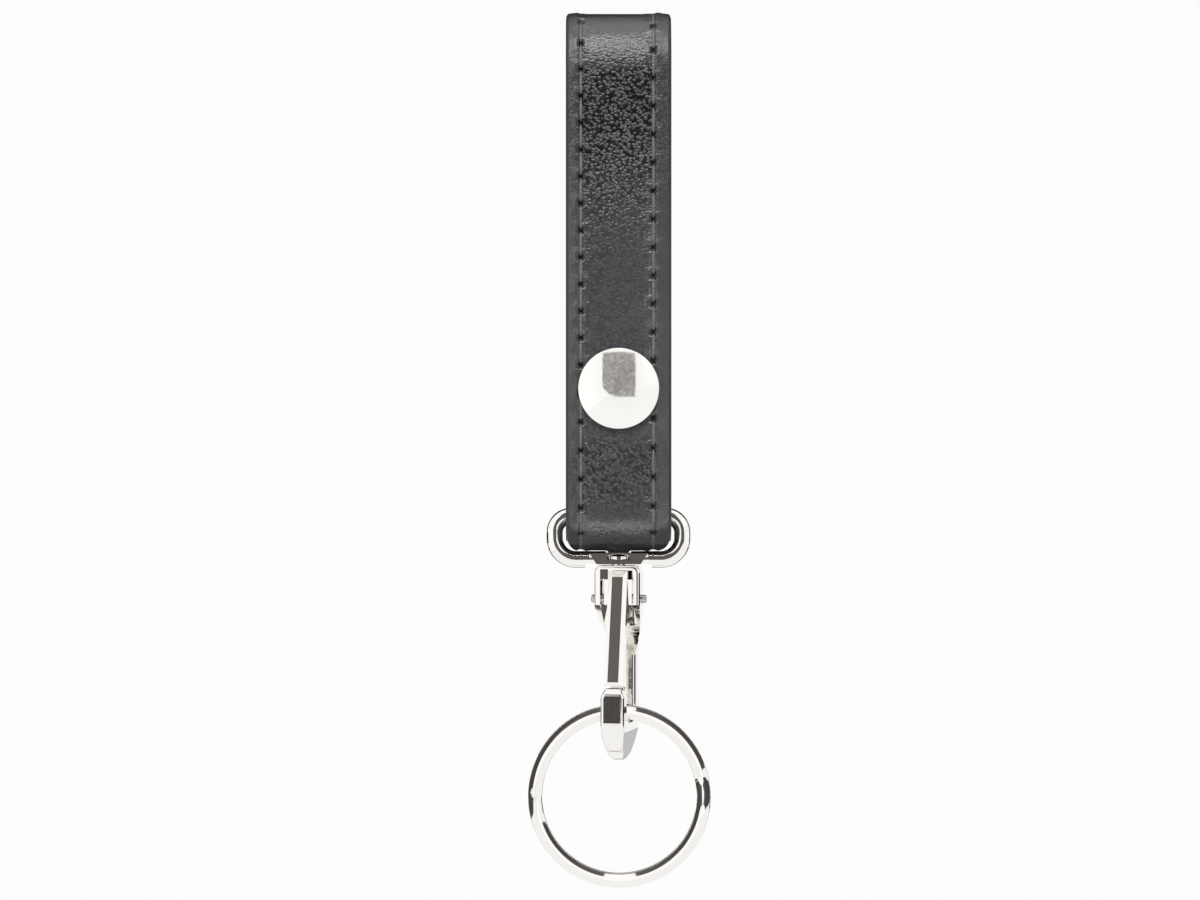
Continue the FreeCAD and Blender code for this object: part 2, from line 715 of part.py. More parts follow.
def hook_body():
    """Cast hook with a forked yoke for the gate."""
    body = start_body("hook_body")
    profile = start_sketch(body, "YZ_Plane")
    hook_profile(profile)
    pad(body, profile, "Sizes.yoke_width")
    silhouette = start_sketch(body, "XZ_Plane")
    hook_silhouette(silhouette)
    pocket(body, silhouette)
    flank = start_sketch(body, "XY_Plane")
    out = f"{HALF_YOKE} + Sizes.overrun"
    behind = "Sizes.spine_back + Sizes.overrun"
    waist = f"{yoke_waist_share} * Sizes.yoke_rear + (1 - {yoke_waist_share}) * Sizes.spine_back"
    for side in both_sides([
        (out, "Sizes.yoke_rear"),
        (HALF_YOKE, "Sizes.yoke_rear"),
        (HALF_HOOK, waist),
        (HALF_HOOK, behind),
        (out, behind),
    ]):
        trace(flank, side)
    pocket(body, flank, side="One side")
    nose = start_sketch(body, "XZ_Plane")
    crest = [
        (f"{nose_crest_share} * {HALF_HOOK}", NOSE_Z),
        (HALF_HOOK, f"{NOSE_Z} - Sizes.nose_bevel"),
        (f"{HALF_HOOK} + Sizes.overrun", f"{NOSE_Z} - Sizes.nose_bevel"),
        (f"{HALF_HOOK} + Sizes.overrun", NOSE_Z),
    ]
    for side in both_sides(crest):
        trace(nose, side)
    pocket(body, nose, side="One side", reverse=True)
    slot = start_sketch(body, "YZ_Plane")
    front = "-Sizes.yoke_front - Sizes.overrun"
    below = f"-Sizes.yoke_length - Sizes.yoke_front - {SPINE_IN}"
    trace(slot, [
        (front, "-Sizes.slot_ceiling"),
        ("Sizes.slot_back", "-Sizes.slot_ceiling"),
        ("Sizes.slot_back", below),
        (front, below),
    ])
    pocket(body, slot, "Sizes.slot_width")
    pin_hole = start_sketch(body, "YZ_Plane")
    trace_circle(pin_hole, "Sizes.pin_back", "-Sizes.pin_drop", PIN_HOLE)
    pocket(body, pin_hole)
    rivet_hole = start_sketch(body, "XY_Plane")
    trace_circle(rivet_hole, ZERO, ZERO, "Sizes.rivet_shank + 2 * Sizes.running_clearance")
    pocket(body, rivet_hole, "Sizes.slot_ceiling + Sizes.overrun", side="One side")
    coil_pocket = start_sketch(body, "XZ_Plane", "-Sizes.slot_back")
    trace_circle(coil_pocket, ZERO, COIL_Z, COIL_HOLE)
    pocket(body, coil_pocket, "Sizes.coil_pocket", side="One side")
    round_edges(body, is_bar_edge, "Sizes.hook_round")
    round_edges(body, is_yoke_edge, "Sizes.yoke_round")
    place(body, y=BAR_Y, z=HOOK_Z, turned=True)


def is_bar_edge(ends):
    """Edge of the hook's bar: spine, bend and nose below the yoke's taper."""
    taper_end = value(f"-Sizes.yoke_length - {near_all_share} * Sizes.spine_shoulder")
    return max(end.z for end in ends) < taper_end


def is_yoke_edge(ends):
    """Outer edge of the yoke's front or of its round shoulders."""
    outside_slot = all(abs(end.x) * near_all_share > value("Sizes.slot_width / 2") for end in ends)
    in_front = all(end.y < near_all_share * value("-Sizes.yoke_front") for end in ends)
    at_top = all(end.z * near_all_share > value("-Sizes.shoulder_radius") for end in ends)
    return len(ends) == 2 and outside_slot and (in_front or at_top)


def round_edges(body, belongs, radius):
    """Round the edges of a body whose end points belong."""
    base = body.Tip
    names = []
    for number, edge in enumerate(base.Shape.Edges, start=1):
        if belongs([vertex.Point for vertex in edge.Vertexes]):
            names.append(f"Edge{number}")
    fillet = body.newObject("PartDesign::Fillet", body.Label + "_round")
    fillet.Base = (base, names)
    fillet.setExpression("Radius", radius)
    doc.recompute()


swivel_rivet()
hook_body()

# Push gate on its pin, closed by a coil between gate and spine
PIN_Y = "Sizes.pin_back"
PIN_Z = "-Sizes.pin_drop"
GATE_END = f"(-Sizes.pin_drop - {GATE_REACH})"
TONGUE_FRONT = f"(Sizes.tongue_gap - {NOSE_IN})"
TONGUE_BACK = f"({TONGUE_FRONT} + Sizes.tongue_thickness)"
GATE_BACK_AT_COIL = f"({GATE_SLOPE} * -Sizes.coil_drop - Sizes.gate_forward + Sizes.gate_thickness)"
COIL_SEAT_Y = f"({GATE_BACK_AT_COIL} - Sizes.coil_seat)"
COIL_FLOOR_Y = "(Sizes.slot_back + Sizes.coil_pocket)"
# the rounded top of the gate and its ears, as shares of the gate's height above the pin
gate_crown_share = 0.2
gate_heel_share = 0.35
ear_shares = (0.85, -0.22)


def gate_front(height):
    """Depth of the gate's front face at a height above the pin."""
    return f"({GATE_SLOPE} * ({height}) - Sizes.gate_forward)"


def gate():
    """Bevelled lever that reaches behind the nose; its ears fill the yoke's slot."""
    body = start_body("gate")
    crown = f"{gate_crown_share} * Sizes.gate_top"
    heel = f"{gate_heel_share} * Sizes.gate_thickness"
    top = f"{PIN_Z} + Sizes.gate_top"
    knee = f"(({gate_front('0')} + Sizes.gate_thickness - {TONGUE_BACK}) / {GATE_SLOPE})"
    profile = start_sketch(body, "YZ_Plane")
    trace(profile, [
        (gate_front(f"Sizes.gate_top - {crown}"), f"{top} - {crown}"),
        (gate_front(f"Sizes.gate_bevel - {GATE_REACH}"), f"{GATE_END} + Sizes.gate_bevel"),
        (f"{gate_front(f'-{GATE_REACH}')} + Sizes.gate_bevel_depth", GATE_END),
        (TONGUE_FRONT, GATE_END),
        (TONGUE_FRONT, f"{GATE_END} - Sizes.tongue_length"),
        (TONGUE_BACK, f"{GATE_END} - Sizes.tongue_length"),
        (TONGUE_BACK, f"{PIN_Z} - {knee}"),
        (f"{gate_front('Sizes.gate_top')} + Sizes.gate_thickness - {heel}", f"{top} - {crown}"),
        (f"{gate_front('Sizes.gate_top')} + Sizes.gate_thickness / 2", top),
        (f"{gate_front('Sizes.gate_top')} + {heel} / 2", top),
    ])
    lever = pad(body, profile, "Sizes.gate_width")
    bevel = body.newObject("PartDesign::Chamfer", "gate_bevels")
    bevel.Base = (lever, front_edges(lever, value("Sizes.gate_width / 2")))
    bevel.ChamferType = "Two distances"
    bevel.setExpression("Size", "Sizes.gate_bevel")
    bevel.setExpression("Size2", "Sizes.gate_bevel_depth")
    doc.recompute()
    ears = start_sketch(body, "YZ_Plane")
    high, low = (f"{share} * Sizes.gate_top" for share in ear_shares)
    front = f"{gate_front(high)} + Sizes.ear_setback"
    trace(ears, [
        (front, f"{PIN_Z} + {high} - Sizes.gate_bevel"),
        (front, f"{PIN_Z} + {low}"),
        ("Sizes.ear_back", f"{PIN_Z} + {low}"),
        ("Sizes.ear_back", f"{PIN_Z} + {high} / 2"),
        (f"{front} + Sizes.gate_bevel", f"{PIN_Z} + {high} - Sizes.gate_bevel"),
    ])
    pad(body, ears, "Sizes.gate_head_width")
    pin_hole = start_sketch(body, "YZ_Plane")
    trace_circle(pin_hole, PIN_Y, PIN_Z, PIN_HOLE)
    pocket(body, pin_hole)
    seat = start_sketch(body, "XZ_Plane", "-Sizes.slot_back")
    trace_circle(seat, ZERO, COIL_Z, COIL_HOLE)
    pocket(body, seat, f"Sizes.slot_back - {COIL_SEAT_Y}", side="One side", reverse=True)
    place(body, y=BAR_Y, z=HOOK_Z, turned=True)


def front_edges(feature, half_width):
    """Names of the two long edges between the gate's front face and its sides."""
    names = []
    for number, edge in enumerate(feature.Shape.Edges, start=1):
        ends = [vertex.Point for vertex in edge.Vertexes]
        flat_side = all(abs(abs(end.x) - half_width) < half_width / 1000 for end in ends)
        same_side = len(ends) == 2 and ends[0].x * ends[1].x > 0
        long_front = edge.Length > value(GATE_REACH) and min(end.y for end in ends) < value(PIN_Y)
        lowest = min(ends, key=lambda end: end.z)
        at_toe = abs(lowest.y + value("Sizes.gate_toe")) < value("Sizes.gate_bevel")
        if flat_side and same_side and long_front and at_toe:
            names.append(f"Edge{number}")
    return names


def gate_pin():
    """Plain pin through yoke and gate, with lightly rounded ends."""
    body = start_body("gate_pin")
    half = start_sketch(body, "XY_Plane")
    end = "Sizes.pin_length / 2"
    round_end = "Sizes.pin_diameter / 4"
    points = [
        (f"-({end})", ZERO),
        (end, ZERO),
        (end, f"Sizes.pin_diameter / 2 - {round_end}"),
        (f"{end} - {round_end}", "Sizes.pin_diameter / 2"),
        (f"{round_end} - {end}", "Sizes.pin_diameter / 2"),
        (f"-({end})", f"Sizes.pin_diameter / 2 - {round_end}"),
    ]
    trace(half, points, {2: (round_end, 1), 4: (round_end, 1)})
    spin(body, half, "H_Axis")
    turn = "Sizes.hook_turn * 1 deg"
    body.setExpression("Placement.Base.x", f"{PIN_Y} * sin({turn})")
    place(body, y=f"{BAR_Y} + {PIN_Y} * cos({turn})", z=f"{HOOK_Z} + {PIN_Z}", turned=True)


def biarc(start, start_way, end, end_way):
    """Two arcs that leave start and reach end along the given unit ways."""
    span = end - start
    ways = start_way + end_way
    bend = 2 * (1 - start_way.dot(end_way))
    reach = (math.sqrt(span.dot(ways) ** 2 + bend * span.dot(span)) - span.dot(ways)) / bend
    first = start + start_way * reach
    second = end - end_way * reach
    meet = (first + second) * 0.5
    return [arc_under(start, first, meet), arc_under(meet, second, end)]


def arc_under(start, corner, end):
    """Arc from start to end that touches both legs of a corner."""
    middle = (start + end) * 0.5
    half = (end - start).Length / 2
    rise = corner - middle
    sagitta = half * math.tan(math.atan2(rise.Length, half) / 2)
    return Part.Arc(start, middle + rise.normalize() * sagitta, end).toShape()


def least_gap(arcs, thickness, apart):
    """Least distance between the middles of turns that lie further apart along the path, less thickness."""
    points = []
    travelled = 0
    for arc in arcs:
        for point in arc.discretize(Distance=thickness)[:-1]:
            points.append((travelled, point))
            travelled += thickness
    gaps = [
        (one - other).Length
        for index, (here, one) in enumerate(points)
        for there, other in points[index + 1:]
        if there - here > apart
    ]
    return min(gaps) - thickness


def gate_spring():
    """Coil from the gate's seat to the pocket's floor, one unbroken wire."""
    wire = value("Sizes.coil_wire")
    radius = value("Sizes.coil_diameter") / 2 - wire / 2
    start_y = value(COIL_SEAT_Y) + wire / 2 + value("Sizes.running_clearance")
    end_y = value(COIL_FLOOR_Y) - wire / 2 - value("Sizes.running_clearance")
    quarters = round(4 * value("Sizes.coil_turns"))
    rise = (end_y - start_y) / quarters
    way_length = math.hypot(rise, radius * math.pi / 2)
    stations = []
    for quarter in range(quarters + 1):
        angle = quarter * math.pi / 2
        point = Vector(radius * math.cos(angle), start_y + quarter * rise, radius * math.sin(angle))
        around = radius * math.pi / 2
        way = Vector(-around * math.sin(angle), rise, around * math.cos(angle)) / way_length
        stations.append((point, way))
    arcs = []
    for (start, start_way), (end, end_way) in zip(stations, stations[1:]):
        arcs += biarc(start, start_way, end, end_way)
    gap = least_gap(arcs, wire, math.pi * radius)
    print(f"gate spring: least gap between turns {gap:.2f} mm")
    assert gap > wire, "gate spring: turns too close"
    round_wire = Part.Wire(Part.Circle(stations[0][0], stations[0][1], wire / 2).toShape())
    coil = doc.addObject("Part::Feature", "gate_spring")
    coil.Label = "gate_spring"
    coil.Shape = Part.Wire(arcs).makePipeShell([round_wire], True, False)
    place(coil, y=BAR_Y, z=f"{HOOK_Z} + {COIL_Z}", turned=True)


gate()
gate_pin()
gate_spring()


# Split ring: two flat turns of one wire, which steps from one plane to the other at its ends
def split_ring():
    """Double-turn key ring that hangs in the hook's eye."""
    band = value("Sizes.ring_band")
    turn = value("Sizes.ring_turn")
    radius = value("Sizes.ring_diameter") / 2 - band / 2
    half_step = (turn + value("Sizes.ring_gap")) / 2
    first = math.radians(value("Sizes.ring_end_angle"))
    jog = math.radians(value("Sizes.ring_jog_angle"))

    def station(angle, y):
        return Vector(radius * math.cos(angle), y, radius * math.sin(angle))

    def way(angle):
        return Vector(-math.sin(angle), 0, math.cos(angle))

    def flat_turn(begin, finish, y):
        count = 4
        step = (finish - begin) / count
        return [
            Part.Arc(
                station(begin + index * step, y),
                station(begin + (index + 0.5) * step, y),
                station(begin + (index + 1) * step, y)).toShape()
            for index in range(count)
        ]

    leave = first + 2 * math.pi - jog
    arrive = first + 2 * math.pi
    arcs = flat_turn(first, leave, -half_step)
    arcs += biarc(station(leave, -half_step), way(leave), station(arrive, half_step), way(arrive))
    arcs += flat_turn(arrive, leave + 2 * math.pi, half_step)
    gap = least_gap(arcs, turn, math.pi * radius)
    print(f"split ring: least gap between turns {gap:.2f} mm")
    centre = station(first, -half_step)
    outward = Vector(math.cos(first), 0, math.sin(first))
    across = Vector(0, 1, 0)
    section = lens_section(centre, outward, across, band / 2, turn / 2, value("Sizes.ring_edge_radius"))
    ring = doc.addObject("Part::Feature", "split_ring")
    ring.Label = "split_ring"
    ring.Shape = Part.Wire(arcs).makePipeShell([section], True, False)
    turned = "Sizes.hook_turn * 1 deg"
    hang = f"{SADDLE_Z} + Sizes.ring_rest + Sizes.ring_band - Sizes.ring_diameter / 2"
    ring.setExpression("Placement.Base.x", f"{EYE_Y} * sin({turned})")
    place(ring, y=f"{BAR_Y} + {EYE_Y} * cos({turned})", z=f"{HOOK_Z} + {hang}")


def lens_section(centre, along, across, half_length, half_width, edge_radius):
    """Domed on both faces, with round edges that run smoothly into the domes."""
    reach = half_length - edge_radius
    dome_radius = (reach ** 2 + half_width ** 2 - edge_radius ** 2) / (2 * (half_width - edge_radius))
    out = reach / (dome_radius - edge_radius)
    up = math.sqrt(1 - out ** 2)
    edges = []
    for side in (1, -1):
        edge_centre = centre + along * (side * reach)
        low = edge_centre + (along * (side * out) - across * (side * up)) * edge_radius
        tip = centre + along * (side * half_length)
        high = edge_centre + (along * (side * out) + across * (side * up)) * edge_radius
        crown = centre + across * (side * half_width)
        far = centre - along * (side * reach) + (across * up - along * out) * (side * edge_radius)
        edges.append(Part.Arc(low, tip, high).toShape())
        edges.append(Part.Arc(high, crown, far).toShape())
    return Part.Wire(edges)


split_ring()
doc.recompute()

# Check every object, then write each sub-part
nodes = [item for item in doc.Objects if item.isDerivedFrom("Part::Feature") and item.Label in (
    "strap_face", "strap_liner", "rear_strap_face", "rear_strap_liner",
    "stitching_left", "stitching_right", "rear_stitching_left", "rear_stitching_right",
    "snap_cap", "snap_socket", "snap_spring", "snap_stud", "snap_post",
    "swivel_loop", "swivel_rivet", "hook_body", "gate", "gate_pin", "gate_spring", "split_ring")]
for item in doc.Objects:
    assert not {"Invalid", "Error"} & set(item.State), f"{item.Label}: {item.State}"
os.makedirs("parts", exist_ok=True)
for node in nodes:
    assert not node.Shape.isNull() and node.Shape.isValid(), node.Label
for node in nodes:
    node.Shape.exportStep(f"parts/{node.Label}.step")
    print(f"{node.Label}: {len(node.Shape.Solids)} solids, {node.Shape.Volume:.1f} mm3")
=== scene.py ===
"""Belt key clip: leather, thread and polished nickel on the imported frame, in metres."""
import bisect
import json
import math
import bmesh
import bpy
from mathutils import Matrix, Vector, noise


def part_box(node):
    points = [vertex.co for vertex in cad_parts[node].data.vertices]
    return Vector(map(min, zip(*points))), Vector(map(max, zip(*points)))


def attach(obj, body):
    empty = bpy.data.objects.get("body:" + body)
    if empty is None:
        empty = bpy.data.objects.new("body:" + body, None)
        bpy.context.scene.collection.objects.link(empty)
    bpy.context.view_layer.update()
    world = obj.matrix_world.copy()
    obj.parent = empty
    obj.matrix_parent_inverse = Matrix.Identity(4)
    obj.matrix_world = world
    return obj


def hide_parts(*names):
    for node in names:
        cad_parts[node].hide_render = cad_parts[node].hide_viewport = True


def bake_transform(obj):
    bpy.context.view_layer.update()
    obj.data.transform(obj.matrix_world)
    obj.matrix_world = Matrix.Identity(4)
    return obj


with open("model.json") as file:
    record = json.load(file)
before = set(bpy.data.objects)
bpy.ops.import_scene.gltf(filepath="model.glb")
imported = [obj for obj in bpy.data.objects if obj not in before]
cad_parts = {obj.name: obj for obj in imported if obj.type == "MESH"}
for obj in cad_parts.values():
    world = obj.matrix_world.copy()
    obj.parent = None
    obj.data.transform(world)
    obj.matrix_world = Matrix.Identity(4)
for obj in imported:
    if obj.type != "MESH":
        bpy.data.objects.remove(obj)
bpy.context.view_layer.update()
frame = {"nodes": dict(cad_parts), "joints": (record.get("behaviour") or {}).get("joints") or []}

scene = bpy.context.scene
MM = 0.001

# Sizes that the frame gives
strap_low, strap_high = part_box("strap_face")
lining_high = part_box("strap_liner")[1]
rear_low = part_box("rear_strap_face")[0]
cap_low, cap_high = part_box("snap_cap")
ring_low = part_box("split_ring")[0]
joints = {joint["name"]: joint for joint in frame["joints"]}
bar = Vector(joints["loop_swing"]["pos_m"])
HALF_STRAP = strap_high.x
PLY = strap_high.z - lining_high.z
BEND_RADIUS = strap_high.y - PLY
FOLD_RADIUS = bar.z - strap_low.z - PLY
SNAP_Z = (cap_low.z + cap_high.z) / 2
CAP_RADIUS = (cap_high.x - cap_low.x) / 2
REAR_END_Z = rear_low.z

# Sizes of the leather work
TAIL_Y = -1.5 * MM
TAIL_TOP_Z = -60.0 * MM
SWAY_TOP_Z = -77.0 * MM
ARCH_RISE = 9.0 * MM
FOLD_SAG = 1.0 * MM
SEAT_SAG = 0.4 * MM
SEAT_HALF = 2.3 * MM
REAR_CORNER = (7.0 * MM, 7.0 * MM)
CORNER_STEPS = 32
REAR_SEAM_END = 4.0 * MM
FOLD_CORNER = (1.45 * MM, 2.6 * MM)
EDGE_ROUND = 0.7 * MM
PANEL_DROP = 0.3 * MM
PANEL_BLEND = 0.9 * MM
MARGIN_FALL = 0.3 * MM
GROOVE_DEPTH = 0.25 * MM
GROOVE_HALF = 0.7 * MM
PIT_DEPTH = 0.8 * MM
PIT_HALF = 0.52 * MM
PIT_WALL = (0.6 * PIT_HALF, 1.25 * PIT_HALF)
PUCKER = 0.1 * MM
PUCKER_CREST = 1.8 * PIT_HALF
PUCKER_REACH = 4 * PIT_HALF
# Strength of the painted shade, towards near-black, on the fold's underside
UNDERSIDE_SHADE = 0.85
LEFT_ROW = 7.2 * MM
RIGHT_ROW = 6.6 * MM
LEFT_PITCHES = (5.44 * MM, 5.11 * MM)
RIGHT_PITCHES = (5.54 * MM, 5.37 * MM)
LEFT_HOLE_Z = -64.3 * MM
RIGHT_HOLE_Z = -63.5 * MM
REAR_HOLE_Z = -40.0 * MM
THREAD_HALF_WIDTH = 0.36 * MM
THREAD_HALF_HEIGHT = 0.22 * MM
THREAD_SHORT = 0.3 * PIT_HALF
SWELL = 0.06 * MM
SWELL_LENGTH = 7.0 * MM
PATCH_LENGTH = 11.0 * MM
COLUMN_STEP = 0.25 * MM
ROW_STEP = 0.28 * MM
PLAIN_STEP = 1.0 * MM

# Shares of a turn downwards (1 is straight down) at which the fold's leather stretches, sits and takes
# painted shade on its underside
STRETCH_TURN = (0.3, 0.95)
SEAT_TURN = (0.9, 0.99)
UNDERSIDE_SHADE_TURN = (0.84, 0.9)

# Share of a turn sideways from which a face counts as cut edge
EDGE_TURN = 0.7

# Heights at which the pebbles deepen below the bend, ease off in it and lie flat on the crown,
# and the patch below the snap where they deepen again
BEND_GRAIN = (-46 * MM, -17 * MM)
BEND_EASE = (-9 * MM, -6.5 * MM)
CROWN_EASE = (-3 * MM, 0.0)
SNAP_GRAIN_DROP = 16 * MM
SNAP_GRAIN_REACH = (3 * MM, 9 * MM)


# Small helpers
def linear(code):
    """Linear colour of an sRGB hex value."""
    channels = [int(code[i:i + 2], 16) / 255 for i in (1, 3, 5)]
    return [c / 12.92 if c <= 0.04045 else ((c + 0.055) / 1.055) ** 2.4 for c in channels] + [1.0]


def smooth_step(low, high, value):
    """Smooth rise from 0 at low to 1 at high."""
    share = min(max((value - low) / (high - low), 0.0), 1.0)
    return share * share * (3 - 2 * share)


def add(tree, kind, links=None, **settings):
    """Add a shader node; settings are its properties or input values, links maps inputs to sockets."""
    node = tree.nodes.new(kind)
    for name, value in settings.items():
        if hasattr(node, name):
            setattr(node, name, value)
        else:
            node.inputs[name.replace("_", " ")].default_value = value
    for name, socket in (links or {}).items():
        tree.links.new(socket, node.inputs[name])
    return node


def new_material(name):
    """Empty node material with its output and principled shader."""
    material = bpy.data.materials.new(name)
    material.use_nodes = True
    tree = material.node_tree
    tree.nodes.clear()
    shader = add(tree, "ShaderNodeBsdfPrincipled")
    add(tree, "ShaderNodeOutputMaterial", {"Surface": shader.outputs["BSDF"]})
    return material, tree, shader


def new_piece(name, shape, body, materials, nodes=()):
    """Mesh object from a bmesh, riding on a body and standing for CAD nodes."""
    mesh = bpy.data.meshes.new(name)
    shape.to_mesh(mesh)
    shape.free()
    piece = bpy.data.objects.new(name, mesh)
    scene.collection.objects.link(piece)
    for material in materials:
        mesh.materials.append(material)
    if nodes:
        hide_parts(*nodes)
    if body:
        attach(piece, body)
    return piece


# Materials
def coated_leather():
    """Corrected-grain leather, dyed black and sealed: a satin gloss that fine pebbles break into specks;
    painted shade darkens the pebbles' valleys, the stitch holes and the fold's underside.
    """
    material, tree, shader = new_material("coated_black_leather")
    place = add(tree, "ShaderNodeTexCoord").outputs["Object"]
    grain = add(tree, "ShaderNodeAttribute", attribute_name="grain").outputs["Fac"]
    hole = add(tree, "ShaderNodeAttribute", attribute_name="hole").outputs["Fac"]
    warp = add(tree, "ShaderNodeTexNoise", {"Vector": place}, Scale=1 / (1.2 * MM), Detail=2.0)
    shift = add(tree, "ShaderNodeVectorMath", {0: warp.outputs["Color"]}, operation="SCALE", Scale=0.3 * MM)
    moved = add(tree, "ShaderNodeVectorMath", {0: place, 1: shift.outputs["Vector"]}, operation="ADD")
    wide = add(tree, "ShaderNodeMapping", {"Vector": moved.outputs["Vector"]}, Scale=(0.8, 1, 1.15))
    pebbles = add(
        tree, "ShaderNodeTexVoronoi", {"Vector": wide.outputs["Vector"]},
        feature="SMOOTH_F1", Scale=1 / (0.52 * MM), Smoothness=0.25)
    pores = add(tree, "ShaderNodeTexNoise", {"Vector": place}, Scale=1 / (0.25 * MM), Detail=3.0)
    height = add(tree, "ShaderNodeMath", {0: pebbles.outputs["Distance"], 1: grain}, operation="MULTIPLY")
    skin = add(
        tree, "ShaderNodeMath", {0: pores.outputs["Fac"], 2: height.outputs["Value"]},
        operation="MULTIPLY_ADD")
    skin.inputs[1].default_value = 0.2
    bump = add(
        tree, "ShaderNodeBump", {"Height": skin.outputs["Value"]},
        invert=True, Strength=1.0, Distance=0.17 * MM)
    tone = add(tree, "ShaderNodeTexNoise", {"Vector": place}, Scale=1 / (9 * MM), Detail=4.0)
    dye = add(tree, "ShaderNodeMix", {"Factor": tone.outputs["Fac"]}, data_type="RGBA")
    dye.inputs["A"].default_value = linear("#1c1c1d")
    dye.inputs["B"].default_value = linear("#252526")
    # Painted shade in the pebbles' valleys: they darken towards #0a0a0b and lose gloss, more where the grain
    # is deep
    valley = add(
        tree, "ShaderNodeMapRange", {"Value": pebbles.outputs["Distance"]},
        From_Min=0.38, From_Max=0.68, To_Max=0.88)
    deepened = add(tree, "ShaderNodeMath", {0: valley.outputs["Result"], 1: grain}, operation="MULTIPLY")
    crease_shade = deepened.outputs["Value"]
    crease_shaded = add(tree, "ShaderNodeMix", {"Factor": crease_shade, "A": dye.outputs["Result"]}, data_type="RGBA")
    crease_shaded.inputs["B"].default_value = linear("#0a0a0b")
    shine = add(tree, "ShaderNodeMapRange", {"Value": crease_shade}, To_Min=0.5, To_Max=0.15)
    # Specular level lowered where the pebbles are deep, and in the valleys' painted shade
    shaded_specular = add(
        tree, "ShaderNodeMath", {0: grain, 2: shine.outputs["Result"]},
        operation="MULTIPLY_ADD", use_clamp=True)
    shaded_specular.inputs[1].default_value = -0.28
    margin = add(tree, "ShaderNodeAttribute", attribute_name="margin").outputs["Fac"]
    sheen = add(tree, "ShaderNodeMath", {0: margin, 2: shaded_specular.outputs["Value"]}, operation="MULTIPLY_ADD")
    sheen.inputs[1].default_value = -0.14
    tree.links.new(sheen.outputs["Value"], shader.inputs["Specular IOR Level"])
    # Painted shade: near-black in the stitch holes and on the fold's underside, from the hole attribute
    hole_shaded = add(tree, "ShaderNodeMix", {"Factor": hole, "A": crease_shaded.outputs["Result"]}, data_type="RGBA")
    hole_shaded.inputs["B"].default_value = linear("#020202")
    gloss = add(tree, "ShaderNodeMapRange", {"Value": tone.outputs["Fac"]}, To_Min=0.26, To_Max=0.34)
    waxed = add(tree, "ShaderNodeMath", {0: margin, 2: gloss.outputs["Result"]}, operation="MULTIPLY_ADD")
    waxed.inputs[1].default_value = 0.06
    dull = add(tree, "ShaderNodeMath", {0: hole, 1: waxed.outputs["Value"]}, operation="MAXIMUM")
    tree.links.new(hole_shaded.outputs["Result"], shader.inputs["Base Color"])
    tree.links.new(dull.outputs["Value"], shader.inputs["Roughness"])
    tree.links.new(bump.outputs["Normal"], shader.inputs["Normal"])
    return material


def burnished_edge():
    """Cut edge of the plies, inked and rubbed: darker, with fine streaks along the edge."""
    material, tree, shader = new_material("burnished_leather_edge")
    place = add(tree, "ShaderNodeTexCoord").outputs["Object"]
    stretched = add(tree, "ShaderNodeMapping", {"Vector": place}, Scale=(1, 3, 0.5))
    fibres = add(
        tree, "ShaderNodeTexNoise", {"Vector": stretched.outputs["Vector"]}, Scale=1 / (0.5 * MM), Detail=4.0)
    bump = add(tree, "ShaderNodeBump", {"Height": fibres.outputs["Fac"]}, Strength=0.5, Distance=0.06 * MM)
    shader.inputs["Base Color"].default_value = linear("#262628")
    shader.inputs["Roughness"].default_value = 0.42
    tree.links.new(bump.outputs["Normal"], shader.inputs["Normal"])
    return material


def waxed_thread():
    """Bonded black thread: twisted strands with a waxy sheen."""
    material, tree, shader = new_material("waxed_black_thread")
    place = add(tree, "ShaderNodeTexCoord").outputs["Object"]
    turned = add(tree, "ShaderNodeMapping", {"Vector": place}, Rotation=(0, math.radians(35), 0))
    twist = add(
        tree, "ShaderNodeTexWave", {"Vector": turned.outputs["Vector"]},
        bands_direction="Z", Scale=1 / (1.6 * MM), Distortion=0.5)
    bump = add(tree, "ShaderNodeBump", {"Height": twist.outputs["Fac"]}, Strength=0.7, Distance=0.06 * MM)
    shader.inputs["Base Color"].default_value = linear("#2f2f30")
    shader.inputs["Roughness"].default_value = 0.5
    tree.links.new(bump.outputs["Normal"], shader.inputs["Normal"])
    return material


def polished_nickel():
    """Nickel plate on a die casting, buffed: a clear mirror with a faint haze and fine wipe marks."""
    material, tree, shader = new_material("polished_nickel_plate")
    place = add(tree, "ShaderNodeTexCoord").outputs["Object"]
    haze = add(tree, "ShaderNodeTexNoise", {"Vector": place}, Scale=1 / (3 * MM), Detail=5.0)
    gloss = add(tree, "ShaderNodeMapRange", {"Value": haze.outputs["Fac"]}, To_Min=0.03, To_Max=0.07)
    wavy = add(tree, "ShaderNodeTexNoise", {"Vector": place}, Scale=1 / (2.2 * MM), Detail=1.0)
    bump = add(tree, "ShaderNodeBump", {"Height": wavy.outputs["Fac"]}, Strength=0.25, Distance=0.02 * MM)
    shader.inputs["Base Color"].default_value = linear("#f4f2ee")
    shader.inputs["Metallic"].default_value = 1.0
    tree.links.new(gloss.outputs["Result"], shader.inputs["Roughness"])
    tree.links.new(bump.outputs["Normal"], shader.inputs["Normal"])
    return material


